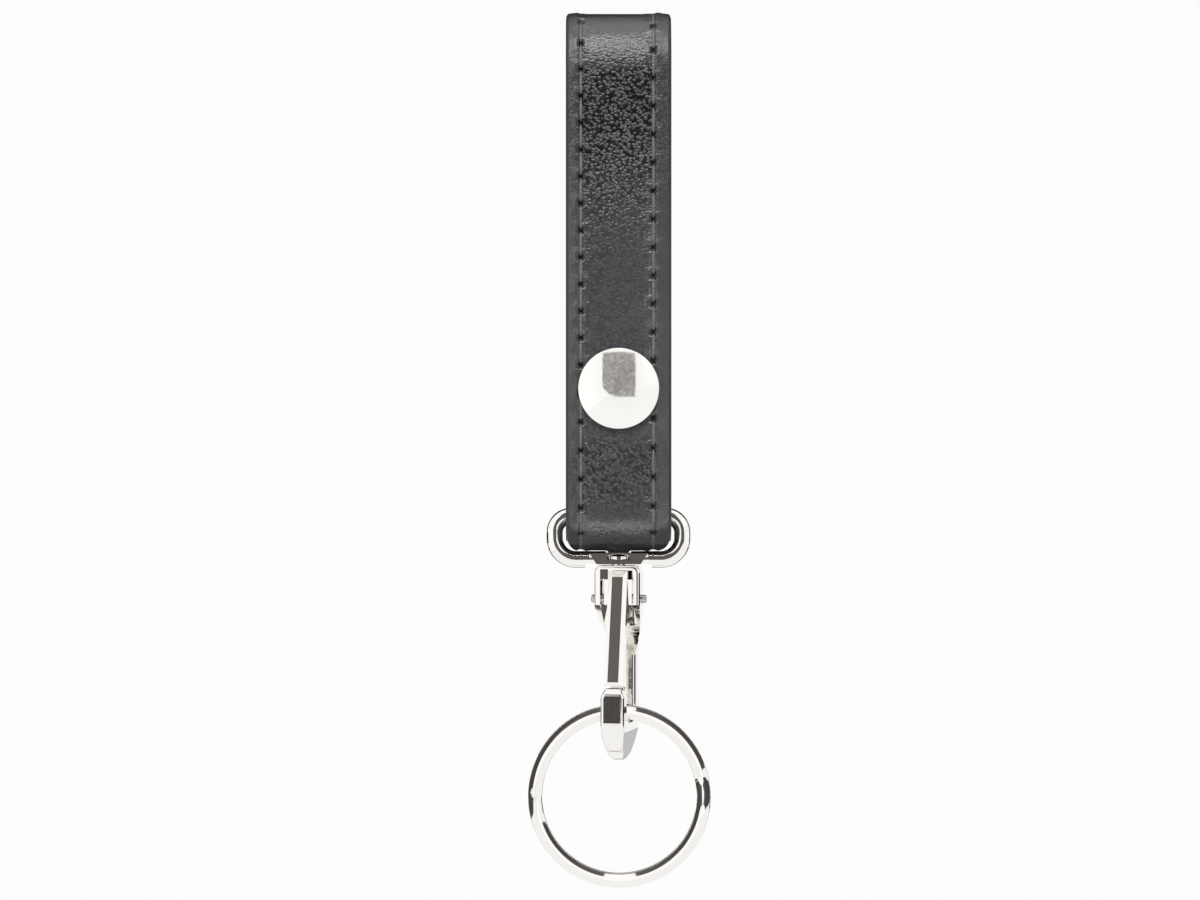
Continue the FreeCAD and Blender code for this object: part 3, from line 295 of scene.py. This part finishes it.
def satin_nickel():
    """Nickel plate on a pressed cap: a mirror that a web of fine scratches veils."""
    material, tree, shader = new_material("satin_nickel_plate")
    place = add(tree, "ShaderNodeTexCoord").outputs["Object"]
    scratches = add(tree, "ShaderNodeTexNoise", {"Vector": place}, Scale=1 / (0.06 * MM), Detail=0.0)
    blotches = add(tree, "ShaderNodeTexNoise", {"Vector": place}, Scale=1 / (0.8 * MM), Detail=2.0)
    limit = add(
        tree, "ShaderNodeMapRange", {"Value": blotches.outputs["Fac"]},
        From_Min=0.3, From_Max=0.7, To_Min=0.5, To_Max=0.58)
    scratched = add(
        tree, "ShaderNodeMath", {0: scratches.outputs["Fac"], 1: limit.outputs["Result"]},
        operation="GREATER_THAN")
    gloss = add(tree, "ShaderNodeMapRange", {"Value": scratched.outputs["Value"]}, To_Min=0.08, To_Max=0.6)
    shader.inputs["Base Color"].default_value = linear("#fdfcf9")
    shader.inputs["Metallic"].default_value = 1.0
    tree.links.new(gloss.outputs["Result"], shader.inputs["Roughness"])
    return material


def drawn_steel():
    """Drawn spring steel: greyer than the plate, with a soft gloss and lines along the wire."""
    material, tree, shader = new_material("drawn_spring_steel")
    place = add(tree, "ShaderNodeTexCoord").outputs["Object"]
    lines = add(tree, "ShaderNodeTexNoise", {"Vector": place}, Scale=1 / (0.3 * MM), Detail=3.0)
    gloss = add(tree, "ShaderNodeMapRange", {"Value": lines.outputs["Fac"]}, To_Min=0.18, To_Max=0.32)
    shader.inputs["Base Color"].default_value = linear("#c4c3bf")
    shader.inputs["Metallic"].default_value = 1.0
    tree.links.new(gloss.outputs["Result"], shader.inputs["Roughness"])
    return material


leather = coated_leather()
edge_ink = burnished_edge()
thread = waxed_thread()
nickel = polished_nickel()
satin = satin_nickel()
steel = drawn_steel()


# Strap paths, as stations of place and outward way across the plies
def line_stations(start, end, outward, step):
    """Stations along a straight run, its end left out."""
    count = max(round((end - start).length / step), 1)
    return [(start.lerp(end, index / count), outward.copy()) for index in range(count)]


def arch_stations(centre, depth, rise, begin, finish, step):
    """Stations round an oval in the strap's side view, its end left out; angles run from +Y towards +Z."""
    count = max(round(abs(finish - begin) * (max(depth, rise) + PLY) / step), 1)
    stations = []
    for index in range(count):
        angle = begin + (finish - begin) * index / count
        place = centre + Vector((0, depth * math.cos(angle), rise * math.sin(angle)))
        way = Vector((0, math.cos(angle) / depth, math.sin(angle) / rise)).normalized()
        stations.append((place, way))
    return stations


def sag(stations):
    """Let the lowest part of the fold hang a little below a true round."""
    return [(place - Vector((0, 0, FOLD_SAG * min(way.z, 0.0) ** 4)), way) for place, way in stations]


def sway_stations(start, end, step):
    """Stations down the tail's gentle sway towards the fold, its end left out."""
    count = max(round((end - start).length / step), 1)
    stations = []
    for index in range(count):
        share = index / count
        eased = share * share * (3 - 2 * share)
        slope = 6 * share * (1 - share) * (end.y - start.y)
        way = Vector((0, start.z - end.z, slope)).normalized()
        place = Vector((0, start.y + eased * (end.y - start.y), start.z + share * (end.z - start.z)))
        stations.append((place, way))
    return stations


arch_centre = Vector((0, 0, strap_high.z - PLY - ARCH_RISE))
arch_front = arch_centre - Vector((0, BEND_RADIUS, 0))
arch_rear = arch_centre + Vector((0, BEND_RADIUS, 0))
crown = (arch_centre + Vector((0, 0, ARCH_RISE)), Vector((0, 0, 1)))


def front_path(step):
    """From the tail's end, round the loop's bar and up the front leg to the crown of the bend."""
    tail_top = Vector((0, TAIL_Y, TAIL_TOP_Z))
    sway_top = Vector((0, TAIL_Y, SWAY_TOP_Z))
    fold_centre = Vector((0, bar.y, bar.z))
    fold_rear = fold_centre + Vector((0, FOLD_RADIUS, 0))
    fold_front = fold_centre - Vector((0, FOLD_RADIUS, 0))
    path = line_stations(tail_top, sway_top, Vector((0, 1, 0)), PLAIN_STEP)
    path += sway_stations(sway_top, fold_rear, PLAIN_STEP)
    path += sag(arch_stations(fold_centre, FOLD_RADIUS, FOLD_RADIUS, 0, -math.pi, step))
    path += line_stations(fold_front, arch_front, Vector((0, -1, 0)), step)
    path += arch_stations(arch_centre, BEND_RADIUS, ARCH_RISE, math.pi, math.pi / 2, step)
    path.append(crown)
    return path


def rear_path(step):
    """From the crown of the bend down the rear leg, with even steps round the corners of its end."""
    high = REAR_CORNER[1]
    corner_top = Vector((0, BEND_RADIUS, REAR_END_Z + high))
    path = arch_stations(arch_centre, BEND_RADIUS, ARCH_RISE, math.pi / 2, 0, step)
    path += line_stations(arch_rear, corner_top, Vector((0, 1, 0)), step)
    for index in range(CORNER_STEPS + 1):
        drop = high * math.sin(math.pi / 2 * index / CORNER_STEPS)
        path.append((corner_top - Vector((0, 0, drop)), Vector((0, 1, 0))))
    return path


def lengths_along(path):
    """Distance of each station from the path's first one, along the outer face."""
    travelled = [0.0]
    outer = [place + way * PLY for place, way in path]
    for here, there in zip(outer, outer[1:]):
        travelled.append(travelled[-1] + (there - here).length)
    return travelled


def half_width(z, rear):
    """Half of the strap's width at a height, drawn in at the round lower corners."""
    corner, end = (REAR_CORNER, REAR_END_Z) if rear else (FOLD_CORNER, strap_low.z - FOLD_SAG)
    wide, high = corner
    below = min(max((end + high - z) / high, 0.0), 1.0)
    return HALF_STRAP - wide + wide * math.sqrt(1 - below ** 2)


def edge_distance(x, z, rear):
    """Distance from the ply's cut edge, at the sides and round the rear leg's end."""
    if not rear:
        return half_width(z, rear) - abs(x)
    wide, high = REAR_CORNER
    return wide - math.hypot(max(abs(x) - HALF_STRAP + wide, 0.0), max(REAR_END_Z + high - z, 0.0))


def row_place(x):
    """Distance of the stitch row on this side from the strap's middle."""
    return LEFT_ROW if x < 0 else RIGHT_ROW


def stitch_places(path, hole_z, pitches, rear):
    """Distances along the path of the stitch holes, from one hole with a pitch to either side."""
    travelled = lengths_along(path)
    outward = 1 if rear else -1
    leg = [index for index, (place, way) in enumerate(path) if way.y * outward > 0.999]
    base = travelled[min(leg, key=lambda index: abs(path[index][0].z - hole_z))]
    before, after = pitches
    count = int(travelled[-1] / after) + 1
    wanted = [base - step * before for step in range(count, 0, -1)]
    wanted += [base + step * after for step in range(count)]
    low = 0.5 * before if rear else travelled[0]
    high = travelled[-1] - (REAR_SEAM_END if rear else 0.0)
    return [distance for distance in wanted if low < distance < high]


def hole_nearness(x, along, rows):
    """1 in the middle of a stitch hole, 0 from its rim on, and the distance from the nearest hole."""
    across = abs(abs(x) - row_place(x))
    holes = rows[0] if x < 0 else rows[1]
    square = min((max(across, abs(along - hole)) for hole in holes), default=1.0)
    return 1 - smooth_step(*PIT_WALL, square), square


def relief(x, along, rows, inset, way):
    """Height of the outer face over the plain ply: edge, margins, sunk panel, groove and stitch holes."""
    height = 0.0
    row = row_place(x)
    if inset < EDGE_ROUND:
        height -= EDGE_ROUND - math.sqrt(max(EDGE_ROUND ** 2 - (EDGE_ROUND - inset) ** 2, 0.0))
    stretched = smooth_step(*STRETCH_TURN, -way.z)
    height -= (1 - stretched) * PANEL_DROP * smooth_step(-row, -row + PANEL_BLEND, -abs(x))
    height += SEAT_SAG * smooth_step(*SEAT_TURN, -way.z) * smooth_step(-SEAT_HALF, -0.8 * SEAT_HALF, -abs(x))
    height -= MARGIN_FALL * max(abs(x) - row, 0.0) / (HALF_STRAP - row)
    across = abs(abs(x) - row)
    if across < GROOVE_HALF:
        height -= GROOVE_DEPTH * (0.5 + 0.5 * math.cos(math.pi * across / GROOVE_HALF))
    pit, square = hole_nearness(x, along, rows)
    pucker = smooth_step(PIT_HALF, PUCKER_CREST, square) - smooth_step(PUCKER_CREST, PUCKER_REACH, square)
    return height - PIT_DEPTH * pit + PUCKER * pucker


def margin_share(x):
    """1 on the margins outside the stitch rows, 0 on the panel between them."""
    row = row_place(x)
    return smooth_step(row - PANEL_BLEND, row + PANEL_BLEND, abs(x))


def grain_depth(x, z, patch):
    """Share of the full pebble depth: fine on the margins, deep where the leather bends; it also sets how
    dark the painted shade in the pebbles' valleys is.
    """
    below_bend = smooth_step(*BEND_GRAIN, z) * (1 - 0.8 * smooth_step(*BEND_EASE, z))
    below_snap = 0.55 * (1 - smooth_step(*SNAP_GRAIN_REACH, abs(z - SNAP_Z + SNAP_GRAIN_DROP)))
    flattened = 1 - 0.7 * smooth_step(*CROWN_EASE, z)
    deep = 0.24 + 0.15 * patch + 0.61 * max(below_bend, below_snap)
    return flattened * (1 - 0.65 * margin_share(x)) * deep


def ply(path, side, rows, rear, column_step):
    """One leather ply: a sheet along the path with the outer face's relief, given its thickness."""
    travelled = lengths_along(path)
    columns = round(2 * HALF_STRAP / column_step)
    shape = bmesh.new()
    bmesh.ops.create_grid(shape, x_segments=columns, y_segments=len(path) - 1, size=0.5)
    grain = shape.verts.layers.float.new("grain")
    hole = shape.verts.layers.float.new("hole")
    margin = shape.verts.layers.float.new("margin")
    under = shape.verts.layers.float_vector.new("under")
    for vert in shape.verts:
        index = round((vert.co.y + 0.5) * (len(path) - 1))
        place, way = path[index]
        outer = place + way * (side * PLY)
        edge = half_width(outer.z, rear)
        x = 2 * vert.co.x * edge
        spot = Vector((x, outer.y, outer.z))
        patch = 0.5 + 0.5 * noise.noise(spot / PATCH_LENGTH)
        vert[grain] = grain_depth(x, outer.z, patch)
        vert[margin] = margin_share(x)
        vert[under] = spot - way * PLY
        vert.co = spot
        if rows:
            swell = SWELL * noise.noise(spot / SWELL_LENGTH)
            inset = edge_distance(x, outer.z, rear)
            vert.co = spot + way * (relief(x, travelled[index], rows, inset, way) + swell)
            # Painted shade: the hole attribute darkens the stitch holes and the fold's underside towards
            # near-black
            underside_shade = UNDERSIDE_SHADE * smooth_step(*UNDERSIDE_SHADE_TURN, -way.z)
            vert[hole] = max(hole_nearness(x, travelled[index], rows)[0], underside_shade)
    sheet = list(shape.faces)
    back = bmesh.ops.extrude_face_region(
        shape, geom=sheet + list(shape.edges) + list(shape.verts), use_keep_orig=True)["geom"]
    for part in back:
        if isinstance(part, bmesh.types.BMVert):
            part.co = part[under]
    cut_edge = set(shape.faces) - set(sheet) - set(back)
    shape.verts.layers.float_vector.remove(under)
    bmesh.ops.recalc_face_normals(shape, faces=shape.faces)
    shape.normal_update()
    for face in shape.faces:
        face.smooth = face not in cut_edge
        face.material_index = 1 if face in cut_edge or abs(face.normal.x) > EDGE_TURN else 0
    return shape


front = front_path(ROW_STEP)
rear = rear_path(ROW_STEP)
front_rows = [
    stitch_places(front, LEFT_HOLE_Z, LEFT_PITCHES, False),
    stitch_places(front, RIGHT_HOLE_Z, RIGHT_PITCHES, False),
]
rear_rows = [
    stitch_places(rear, REAR_HOLE_Z, LEFT_PITCHES, True),
    stitch_places(rear, REAR_HOLE_Z, RIGHT_PITCHES, True),
]
plain_front = front_path(PLAIN_STEP)
plain_rear = rear_path(PLAIN_STEP)
leathers = [leather, edge_ink]
soft_pieces = [
    new_piece("front_leather_face", ply(front, 1, front_rows, False, COLUMN_STEP), "front_strap",
              leathers, ["strap_face"]),
    new_piece("front_leather_lining", ply(plain_front, 0, None, False, PLAIN_STEP), "front_strap",
              leathers, ["strap_liner"]),
    new_piece("rear_leather_face", ply(rear, 1, rear_rows, True, COLUMN_STEP), None,
              leathers, ["rear_strap_face"]),
    new_piece("rear_leather_lining", ply(plain_rear, 0, None, True, PLAIN_STEP), None,
              leathers, ["rear_strap_liner"]),
]


# Thread: one bead of thread from hole to hole, lying in the groove
def station_at(path, travelled, distance):
    """Place and outward way at a distance along the path."""
    index = min(max(bisect.bisect_right(travelled, distance) - 1, 0), len(path) - 2)
    share = (distance - travelled[index]) / (travelled[index + 1] - travelled[index])
    (here, way), (there, next_way) = path[index], path[index + 1]
    return here.lerp(there, share), way.lerp(next_way, share).normalized()


def thread_row(path, holes, x):
    """Row of stitches, each bent along the strap; those that the snap's cap covers are left out."""
    travelled = lengths_along(path)
    shape = bmesh.new()
    for begin, end in zip(holes, holes[1:]):
        middle = (begin + end) / 2
        half_length = (end - begin) / 2 - THREAD_SHORT
        place, way = station_at(path, travelled, middle)
        if way.y < -0.99 and (place.z - SNAP_Z) ** 2 + x ** 2 < CAP_RADIUS ** 2:
            continue
        for vert in bmesh.ops.create_icosphere(shape, subdivisions=2, radius=1.0)["verts"]:
            place, way = station_at(path, travelled, middle + vert.co.z * half_length)
            rise = PLY - GROOVE_DEPTH + vert.co.y * THREAD_HALF_HEIGHT
            vert.co = Vector((x + vert.co.x * THREAD_HALF_WIDTH, place.y, place.z)) + way * rise
    bmesh.ops.recalc_face_normals(shape, faces=shape.faces)
    for face in shape.faces:
        face.smooth = True
    return shape


for name, path, holes, x, body, node in (
    ("front_thread_left", front, front_rows[0], -LEFT_ROW, "front_strap", "stitching_left"),
    ("front_thread_right", front, front_rows[1], RIGHT_ROW, "front_strap", "stitching_right"),
    ("rear_thread_left", rear, rear_rows[0], -LEFT_ROW, None, "rear_stitching_left"),
    ("rear_thread_right", rear, rear_rows[1], RIGHT_ROW, None, "rear_stitching_right"),
):
    soft_pieces.append(new_piece(name, thread_row(path, holes, x), body, [thread], [node]))

# The rear leg's pieces ride on no body; their placement is baked into their meshes
for piece in soft_pieces:
    if piece.name.startswith("rear"):
        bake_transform(piece)

# Metal nodes of the frame
metals = {
    satin: ("snap_cap", "snap_post"),
    nickel: ("snap_socket", "snap_stud", "swivel_loop", "swivel_rivet", "hook_body", "gate", "split_ring"),
    steel: ("snap_spring", "gate_pin", "gate_spring"),
}
for metal, nodes in metals.items():
    for node in nodes:
        for slot in frame["nodes"][node].material_slots:
            slot.material = metal

# Camera: straight on, as the photograph
FRAME_WIDTH = 229.9 * MM
LENS = 100.0
SENSOR = 36.0
aim = Vector((-3.54 * MM, 0, -80.4 * MM))
camera_data = bpy.data.cameras.new("camera")
camera_data.lens = LENS
camera_data.sensor_width = SENSOR
camera_data.clip_start = 0.01
distance = FRAME_WIDTH * LENS / SENSOR - bar.y
camera = bpy.data.objects.new("camera", camera_data)
scene.collection.objects.link(camera)
camera.location = aim + Vector((0, -distance, 0))
camera.rotation_euler = (math.radians(90), 0, 0)
scene.camera = camera


# Stage: white sweep, and cards that show in mirrors alone
def stage_piece(name, shape, material):
    """Mesh that belongs to the studio."""
    mesh = bpy.data.meshes.new(name)
    shape.to_mesh(mesh)
    shape.free()
    mesh.materials.append(material)
    piece = bpy.data.objects.new(name, mesh)
    scene.collection.objects.link(piece)
    return piece


def bare_material(name):
    """Node material with nothing in it yet."""
    material = bpy.data.materials.new(name)
    material.use_nodes = True
    material.node_tree.nodes.clear()
    return material, material.node_tree


def stage_card(name, material, corners):
    """Flat card with the given corners, seen in mirrors alone."""
    shape = bmesh.new()
    shape.faces.new([shape.verts.new(corner) for corner in corners])
    card = stage_piece(name, shape, material)
    card.visible_camera = False
    card.visible_diffuse = False
    card.visible_shadow = False
    return card


def mirrored_card(name, colour, corners):
    """Card of one colour that every piece mirrors."""
    material, tree = bare_material(name)
    glow = add(tree, "ShaderNodeEmission", Color=linear(colour), Strength=1.0)
    add(tree, "ShaderNodeOutputMaterial", {"Surface": glow.outputs["Emission"]})
    stage_card(name, material, corners)


def bright_card(name, corners, receivers, strength=1.0):
    """White see-through card that only the given pieces mirror, over whatever stands behind it."""
    material, tree = bare_material(name)
    glow = add(tree, "ShaderNodeEmission", Color=(1, 1, 1, 1), Strength=strength)
    clear = add(tree, "ShaderNodeBsdfTransparent")
    both = add(tree, "ShaderNodeAddShader", {0: glow.outputs["Emission"], 1: clear.outputs["BSDF"]})
    add(tree, "ShaderNodeOutputMaterial", {"Surface": both.outputs["Shader"]})
    card = stage_card(name, material, corners)
    group = bpy.data.collections.new(name + "_receivers")
    for piece in receivers:
        group.objects.link(piece)
    card.light_linking.receiver_collection = group


def facing(y, left, right, low, high):
    """Corners of an upright card across the view."""
    return [(left, y, low), (right, y, low), (right, y, high), (left, y, high)]


def beside(x, near, far, low, high):
    """Corners of an upright card along the view."""
    return [(x, near, low), (x, far, low), (x, far, high), (x, near, high)]


def upright(y, outline):
    """Corners of a card across the view, from its outline in x and z."""
    return [(x, y, z) for x, z in outline]


def level_at(z, outline):
    """Corners of a card that lies level, from its outline in x and y."""
    return [(x, y, z) for x, y in outline]


def seen_directly(tree):
    """1 for rays from the camera, from mirrors and through glass, 0 for light on a matt surface."""
    path = add(tree, "ShaderNodeLightPath")
    looked = add(
        tree, "ShaderNodeMath", {0: path.outputs["Is Camera Ray"], 1: path.outputs["Is Glossy Ray"]},
        operation="MAXIMUM")
    seen = add(
        tree, "ShaderNodeMath", {0: looked.outputs["Value"], 1: path.outputs["Is Transmission Ray"]},
        operation="MAXIMUM")
    return seen.outputs["Value"]


FLOOR_Z = ring_low.z - 60 * MM
CARD_Y = -1.1
FLAG_X = 0.6
FLAG_Y = 0.22
FLAG_TOP = -0.085
FLAG_LOW = -0.3
BACK_FLAG_IN = 0.2
BACK_FLAG_LOW = -0.25
BACK_FLAG_TOP = 0.5
CEILING_Z = 2.0
SIDE_FAR = 0.1
CARD_GREY = "#5e5a59"
GATE_GREY = "#67625f"
NOSE_GREY = "#474543"
RING_GREY = "#4a4745"
FLAG_BLACK = "#141414"
SIDE_BLACK = "#2a2928"

# Outlines of the cards: x and z of those that stand, x and y of those that lie level
camera_card = [
    (-0.1, -0.4), (0.49, -0.4), (0.535, 0.33), (0.625, 0.85), (0.77, 1.6),
    (-0.72, 1.6), (-0.585, 0.85), (-0.5, 0.33), (-0.47, -0.02),
]
ring_front = [(-2.0, -0.6), (-0.45, -0.42), (0.2, -0.2), (2.0, 0.29), (2.0, 2.05), (-2.0, 2.05)]
ring_window = [
    (-2.0, -1.2), (2.0, -1.2), (2.0, -0.25), (0.49, -0.25), (0.45, -0.06), (0.34, 0.1), (0.18, 0.2),
    (0.1, 0.22), (0.46, 2.0), (-0.46, 2.0), (-0.1, 0.22),
    (-0.18, 0.2), (-0.34, 0.1), (-0.45, -0.06), (-0.49, -0.25), (-0.5, -0.45), (-2.0, -0.8),
]
ring_ceiling = [(-2.0, -2.2), (2.0, -2.2), (2.0, 0.3), (-2.0, 0.3)]
ring_floor = [(-0.9, -0.7), (-0.2, -0.7), (-0.2, 0.1), (-0.9, 0.1)]
cap_floor = [(-0.17, CARD_Y), (0.46, CARD_Y), (0.34, -0.71), (-0.1, -0.765)]
nose_floor = [(-0.66, CARD_Y), (-0.34, CARD_Y), (-0.16, -0.6), (-0.4, -0.6)]
floor_flag = [(-0.35, 0.14), (0.35, 0.14), (0.35, 0.6), (-0.35, 0.6)]

# Pieces that single cards are for, or are hidden from
ring = frame["nodes"]["split_ring"]
cap = frame["nodes"]["snap_cap"]
hook = frame["nodes"]["hook_body"]
post = frame["nodes"]["snap_post"]
metal_pieces = [frame["nodes"][node] for nodes in metals.values() for node in nodes]
others = soft_pieces + [piece for piece in metal_pieces if piece is not ring]
not_nose = [piece for piece in others if piece is not hook]
not_cap = [piece for piece in others if piece is not cap] + [ring]

# Cards in front, and black flags behind and beside, that outline the bright metal
mirrored_card("camera_card", CARD_GREY, upright(CARD_Y, camera_card))
mirrored_card("gate_card", GATE_GREY, facing(CARD_Y + 0.01, -0.58, -0.45, 0.2, 0.52))
mirrored_card("nose_card", NOSE_GREY, facing(CARD_Y + 0.01, -0.7, -0.4, -0.4, -0.195))
mirrored_card("left_flag", FLAG_BLACK, facing(FLAG_Y, -FLAG_X, -BACK_FLAG_IN, BACK_FLAG_LOW, BACK_FLAG_TOP))
mirrored_card("right_flag", FLAG_BLACK, facing(FLAG_Y, BACK_FLAG_IN, FLAG_X, BACK_FLAG_LOW, BACK_FLAG_TOP))
mirrored_card("top_flag", FLAG_BLACK, facing(FLAG_Y, -BACK_FLAG_IN, BACK_FLAG_IN, 0.0, BACK_FLAG_TOP))
mirrored_card("left_side_flag", SIDE_BLACK, beside(-FLAG_X, 0.05, FLAG_Y, FLAG_LOW, FLAG_TOP))
mirrored_card("right_side_flag", SIDE_BLACK, beside(FLAG_X, -0.35, FLAG_Y, FLAG_LOW, FLAG_TOP))
loop_side = beside(FLAG_X - 0.02, -0.35, FLAG_Y, FLAG_LOW, FLAG_TOP)
bright_card("loop_side_cover", loop_side, [frame["nodes"]["swivel_loop"]])

# The ring's own studio: dark all round but for a window, which the other pieces don't mirror
mirrored_card("ring_ceiling", RING_GREY, level_at(CEILING_Z + 0.05, ring_ceiling))
bright_card("ring_ceiling_cover", level_at(CEILING_Z + 0.02, ring_ceiling), others)
mirrored_card("ring_left_card", RING_GREY, beside(-0.9, -1.0, SIDE_FAR, -0.55, CEILING_Z))
bright_card("ring_left_cover", beside(-0.88, -1.0, SIDE_FAR, -0.55, CEILING_Z), others)
mirrored_card("ring_right_card", RING_GREY, beside(1.3, -1.15, SIDE_FAR, 0.2, CEILING_Z))
bright_card("ring_right_cover", beside(1.28, -1.15, SIDE_FAR, 0.2, CEILING_Z), others)
mirrored_card("ring_front_card", RING_GREY, upright(CARD_Y - 0.1, ring_front))
bright_card("ring_front_cover", upright(CARD_Y - 0.07, ring_front), others)
bright_card("ring_window", upright(CARD_Y + 0.05, ring_window), [ring])

# Cards for the cap, the hook and the post, with covers for the rest; those on the floor lie in a stack
bright_card("cap_gate_cover", facing(CARD_Y + 0.02, -0.58, -0.5, 0.2, 0.52), [cap])
bright_card("nose_cover", facing(CARD_Y + 0.02, -0.7, -0.4, -0.4, -0.195), not_nose)
mirrored_card("cap_floor_card", CARD_GREY, level_at(FLOOR_Z + 4 * MM, cap_floor))
bright_card("cap_floor_cover", level_at(FLOOR_Z + 6 * MM, cap_floor), not_cap)
mirrored_card("nose_floor_card", NOSE_GREY, level_at(FLOOR_Z + 8 * MM, nose_floor))
bright_card("nose_floor_cover", level_at(FLOOR_Z + 10 * MM, nose_floor), not_nose + [ring])
mirrored_card("ring_floor_card", RING_GREY, level_at(FLOOR_Z + 4 * MM, ring_floor))
bright_card("ring_floor_cover", level_at(FLOOR_Z + 6 * MM, ring_floor), others)
bright_card("low_cover", facing(CARD_Y + 0.03, -0.2, 0.6, -0.4, -0.3), not_cap)
mirrored_card("floor_flag", FLAG_BLACK, level_at(FLOOR_Z + 5 * MM, floor_flag))
bright_card("toe_floor_cover", level_at(FLOOR_Z + 10 * MM, floor_flag), [hook], 0.55)
post_back = facing(FLAG_Y - 0.02, -BACK_FLAG_IN, BACK_FLAG_IN, 0.0, BACK_FLAG_TOP)
bright_card("post_back_cover", post_back, [post], 0.6)
bright_card("post_floor_cover", level_at(FLOOR_Z + 12 * MM, floor_flag), [post], 0.45)

SWEEP_HALF = 4.0
SWEEP_FRONT = -3.0
SWEEP_BACK = 1.2
SWEEP_RADIUS = 0.8
SWEEP_TOP = 3.0
SWEEP_GLOW = 0.97
FILL_LIGHT = 0.3
sweep_material, tree = bare_material("white_sweep")
level = add(tree, "ShaderNodeMath", {0: seen_directly(tree)}, operation="MULTIPLY")
level.inputs[1].default_value = SWEEP_GLOW
matt = add(tree, "ShaderNodeBsdfDiffuse", Color=linear("#fafafa"))
white = add(tree, "ShaderNodeEmission", Color=(1, 1, 1, 1), Strength=1.0)
mixed = add(
    tree, "ShaderNodeMixShader",
    {0: level.outputs["Value"], 1: matt.outputs["BSDF"], 2: white.outputs["Emission"]})
add(tree, "ShaderNodeOutputMaterial", {"Surface": mixed.outputs["Shader"]})
sweep = bmesh.new()
ends = [sweep.verts.new((side * SWEEP_HALF, SWEEP_FRONT, FLOOR_Z)) for side in (-1, 1)]
line = [sweep.edges.new(ends)]
floor = bmesh.ops.extrude_edge_only(sweep, edges=line)["geom"]
line = [part for part in floor if isinstance(part, bmesh.types.BMEdge)]
moved = [part for part in floor if isinstance(part, bmesh.types.BMVert)]
bmesh.ops.translate(sweep, vec=(0, SWEEP_BACK - SWEEP_FRONT, 0), verts=moved)
line = [edge for edge in line if all(vert in moved for vert in edge.verts)]
curve = bmesh.ops.spin(
    sweep, geom=line, cent=(0, SWEEP_BACK, FLOOR_Z + SWEEP_RADIUS), axis=(1, 0, 0),
    angle=math.pi / 2, steps=24)
line = [part for part in curve["geom_last"] if isinstance(part, bmesh.types.BMEdge)]
wall = bmesh.ops.extrude_edge_only(sweep, edges=line)["geom"]
moved = [part for part in wall if isinstance(part, bmesh.types.BMVert)]
bmesh.ops.translate(sweep, vec=(0, 0, SWEEP_TOP), verts=moved)
bmesh.ops.recalc_face_normals(sweep, faces=sweep.faces)
for face in sweep.faces:
    face.smooth = True
stage_piece("white_sweep", sweep, sweep_material)

# World: white to the eye and to mirrors, dimmer as fill light
world = bpy.data.worlds.new("studio")
scene.world = world
world.use_nodes = True
tree = world.node_tree
tree.nodes.clear()
level = add(tree, "ShaderNodeMapRange", {"Value": seen_directly(tree)}, To_Min=FILL_LIGHT, To_Max=1.0)
sky = add(tree, "ShaderNodeBackground", {"Strength": level.outputs["Result"]}, Color=(1, 1, 1, 1))
add(tree, "ShaderNodeOutputWorld", {"Surface": sky.outputs["Background"]})


# Lamps: softboxes on both sides and overhead
def softbox(name, azimuth, elevation, reach, width, height, power):
    """Rectangular lamp that faces the strap's middle; only the leather's own lamps show in a gloss."""
    lamp = bpy.data.lights.new(name, "AREA")
    lamp.shape = "RECTANGLE"
    lamp.size = width
    lamp.size_y = height
    lamp.energy = power
    light = bpy.data.objects.new(name, lamp)
    scene.collection.objects.link(light)
    turn, rise = math.radians(azimuth), math.radians(elevation)
    way = Vector((math.sin(turn) * math.cos(rise), -math.cos(turn) * math.cos(rise), math.sin(rise)))
    light.location = aim + way * reach
    light.rotation_euler = way.to_track_quat("Z", "Y").to_euler()
    light.visible_glossy = name.startswith("leather")
    return light


softbox("left_softbox", -50, 20, 0.9, 0.6, 0.9, 1.6)
softbox("right_softbox", 55, 20, 0.9, 0.6, 0.9, 0.6)
softbox("top_softbox", 0, 62, 0.8, 0.7, 0.4, 0.8)

# Lamps for the leather's sheen alone, which the polished metal would mirror as bars
sheen_lights = [
    softbox("leather_top_light", 0, 38, 0.9, 0.8, 0.3, 14.0),
    softbox("leather_crown_light", 0, 74, 0.9, 0.8, 0.5, 2.4),
    softbox("leather_left_strip", -26, 10, 0.9, 0.1, 0.9, 3.2),
    softbox("leather_low_light", 0, -37, 0.2, 0.1, 0.04, 0.13),
    softbox("leather_right_strip", 24, -14, 0.26, 0.04, 0.06, 0.2),
    softbox("leather_back_light", 180, 10, 0.9, 0.8, 0.5, 12.0),
]
lit_leather = bpy.data.collections.new("lit_leather")
for piece in soft_pieces:
    lit_leather.objects.link(piece)
for light in sheen_lights:
    light.light_linking.receiver_collection = lit_leather

scene.view_settings.view_transform = "Standard"
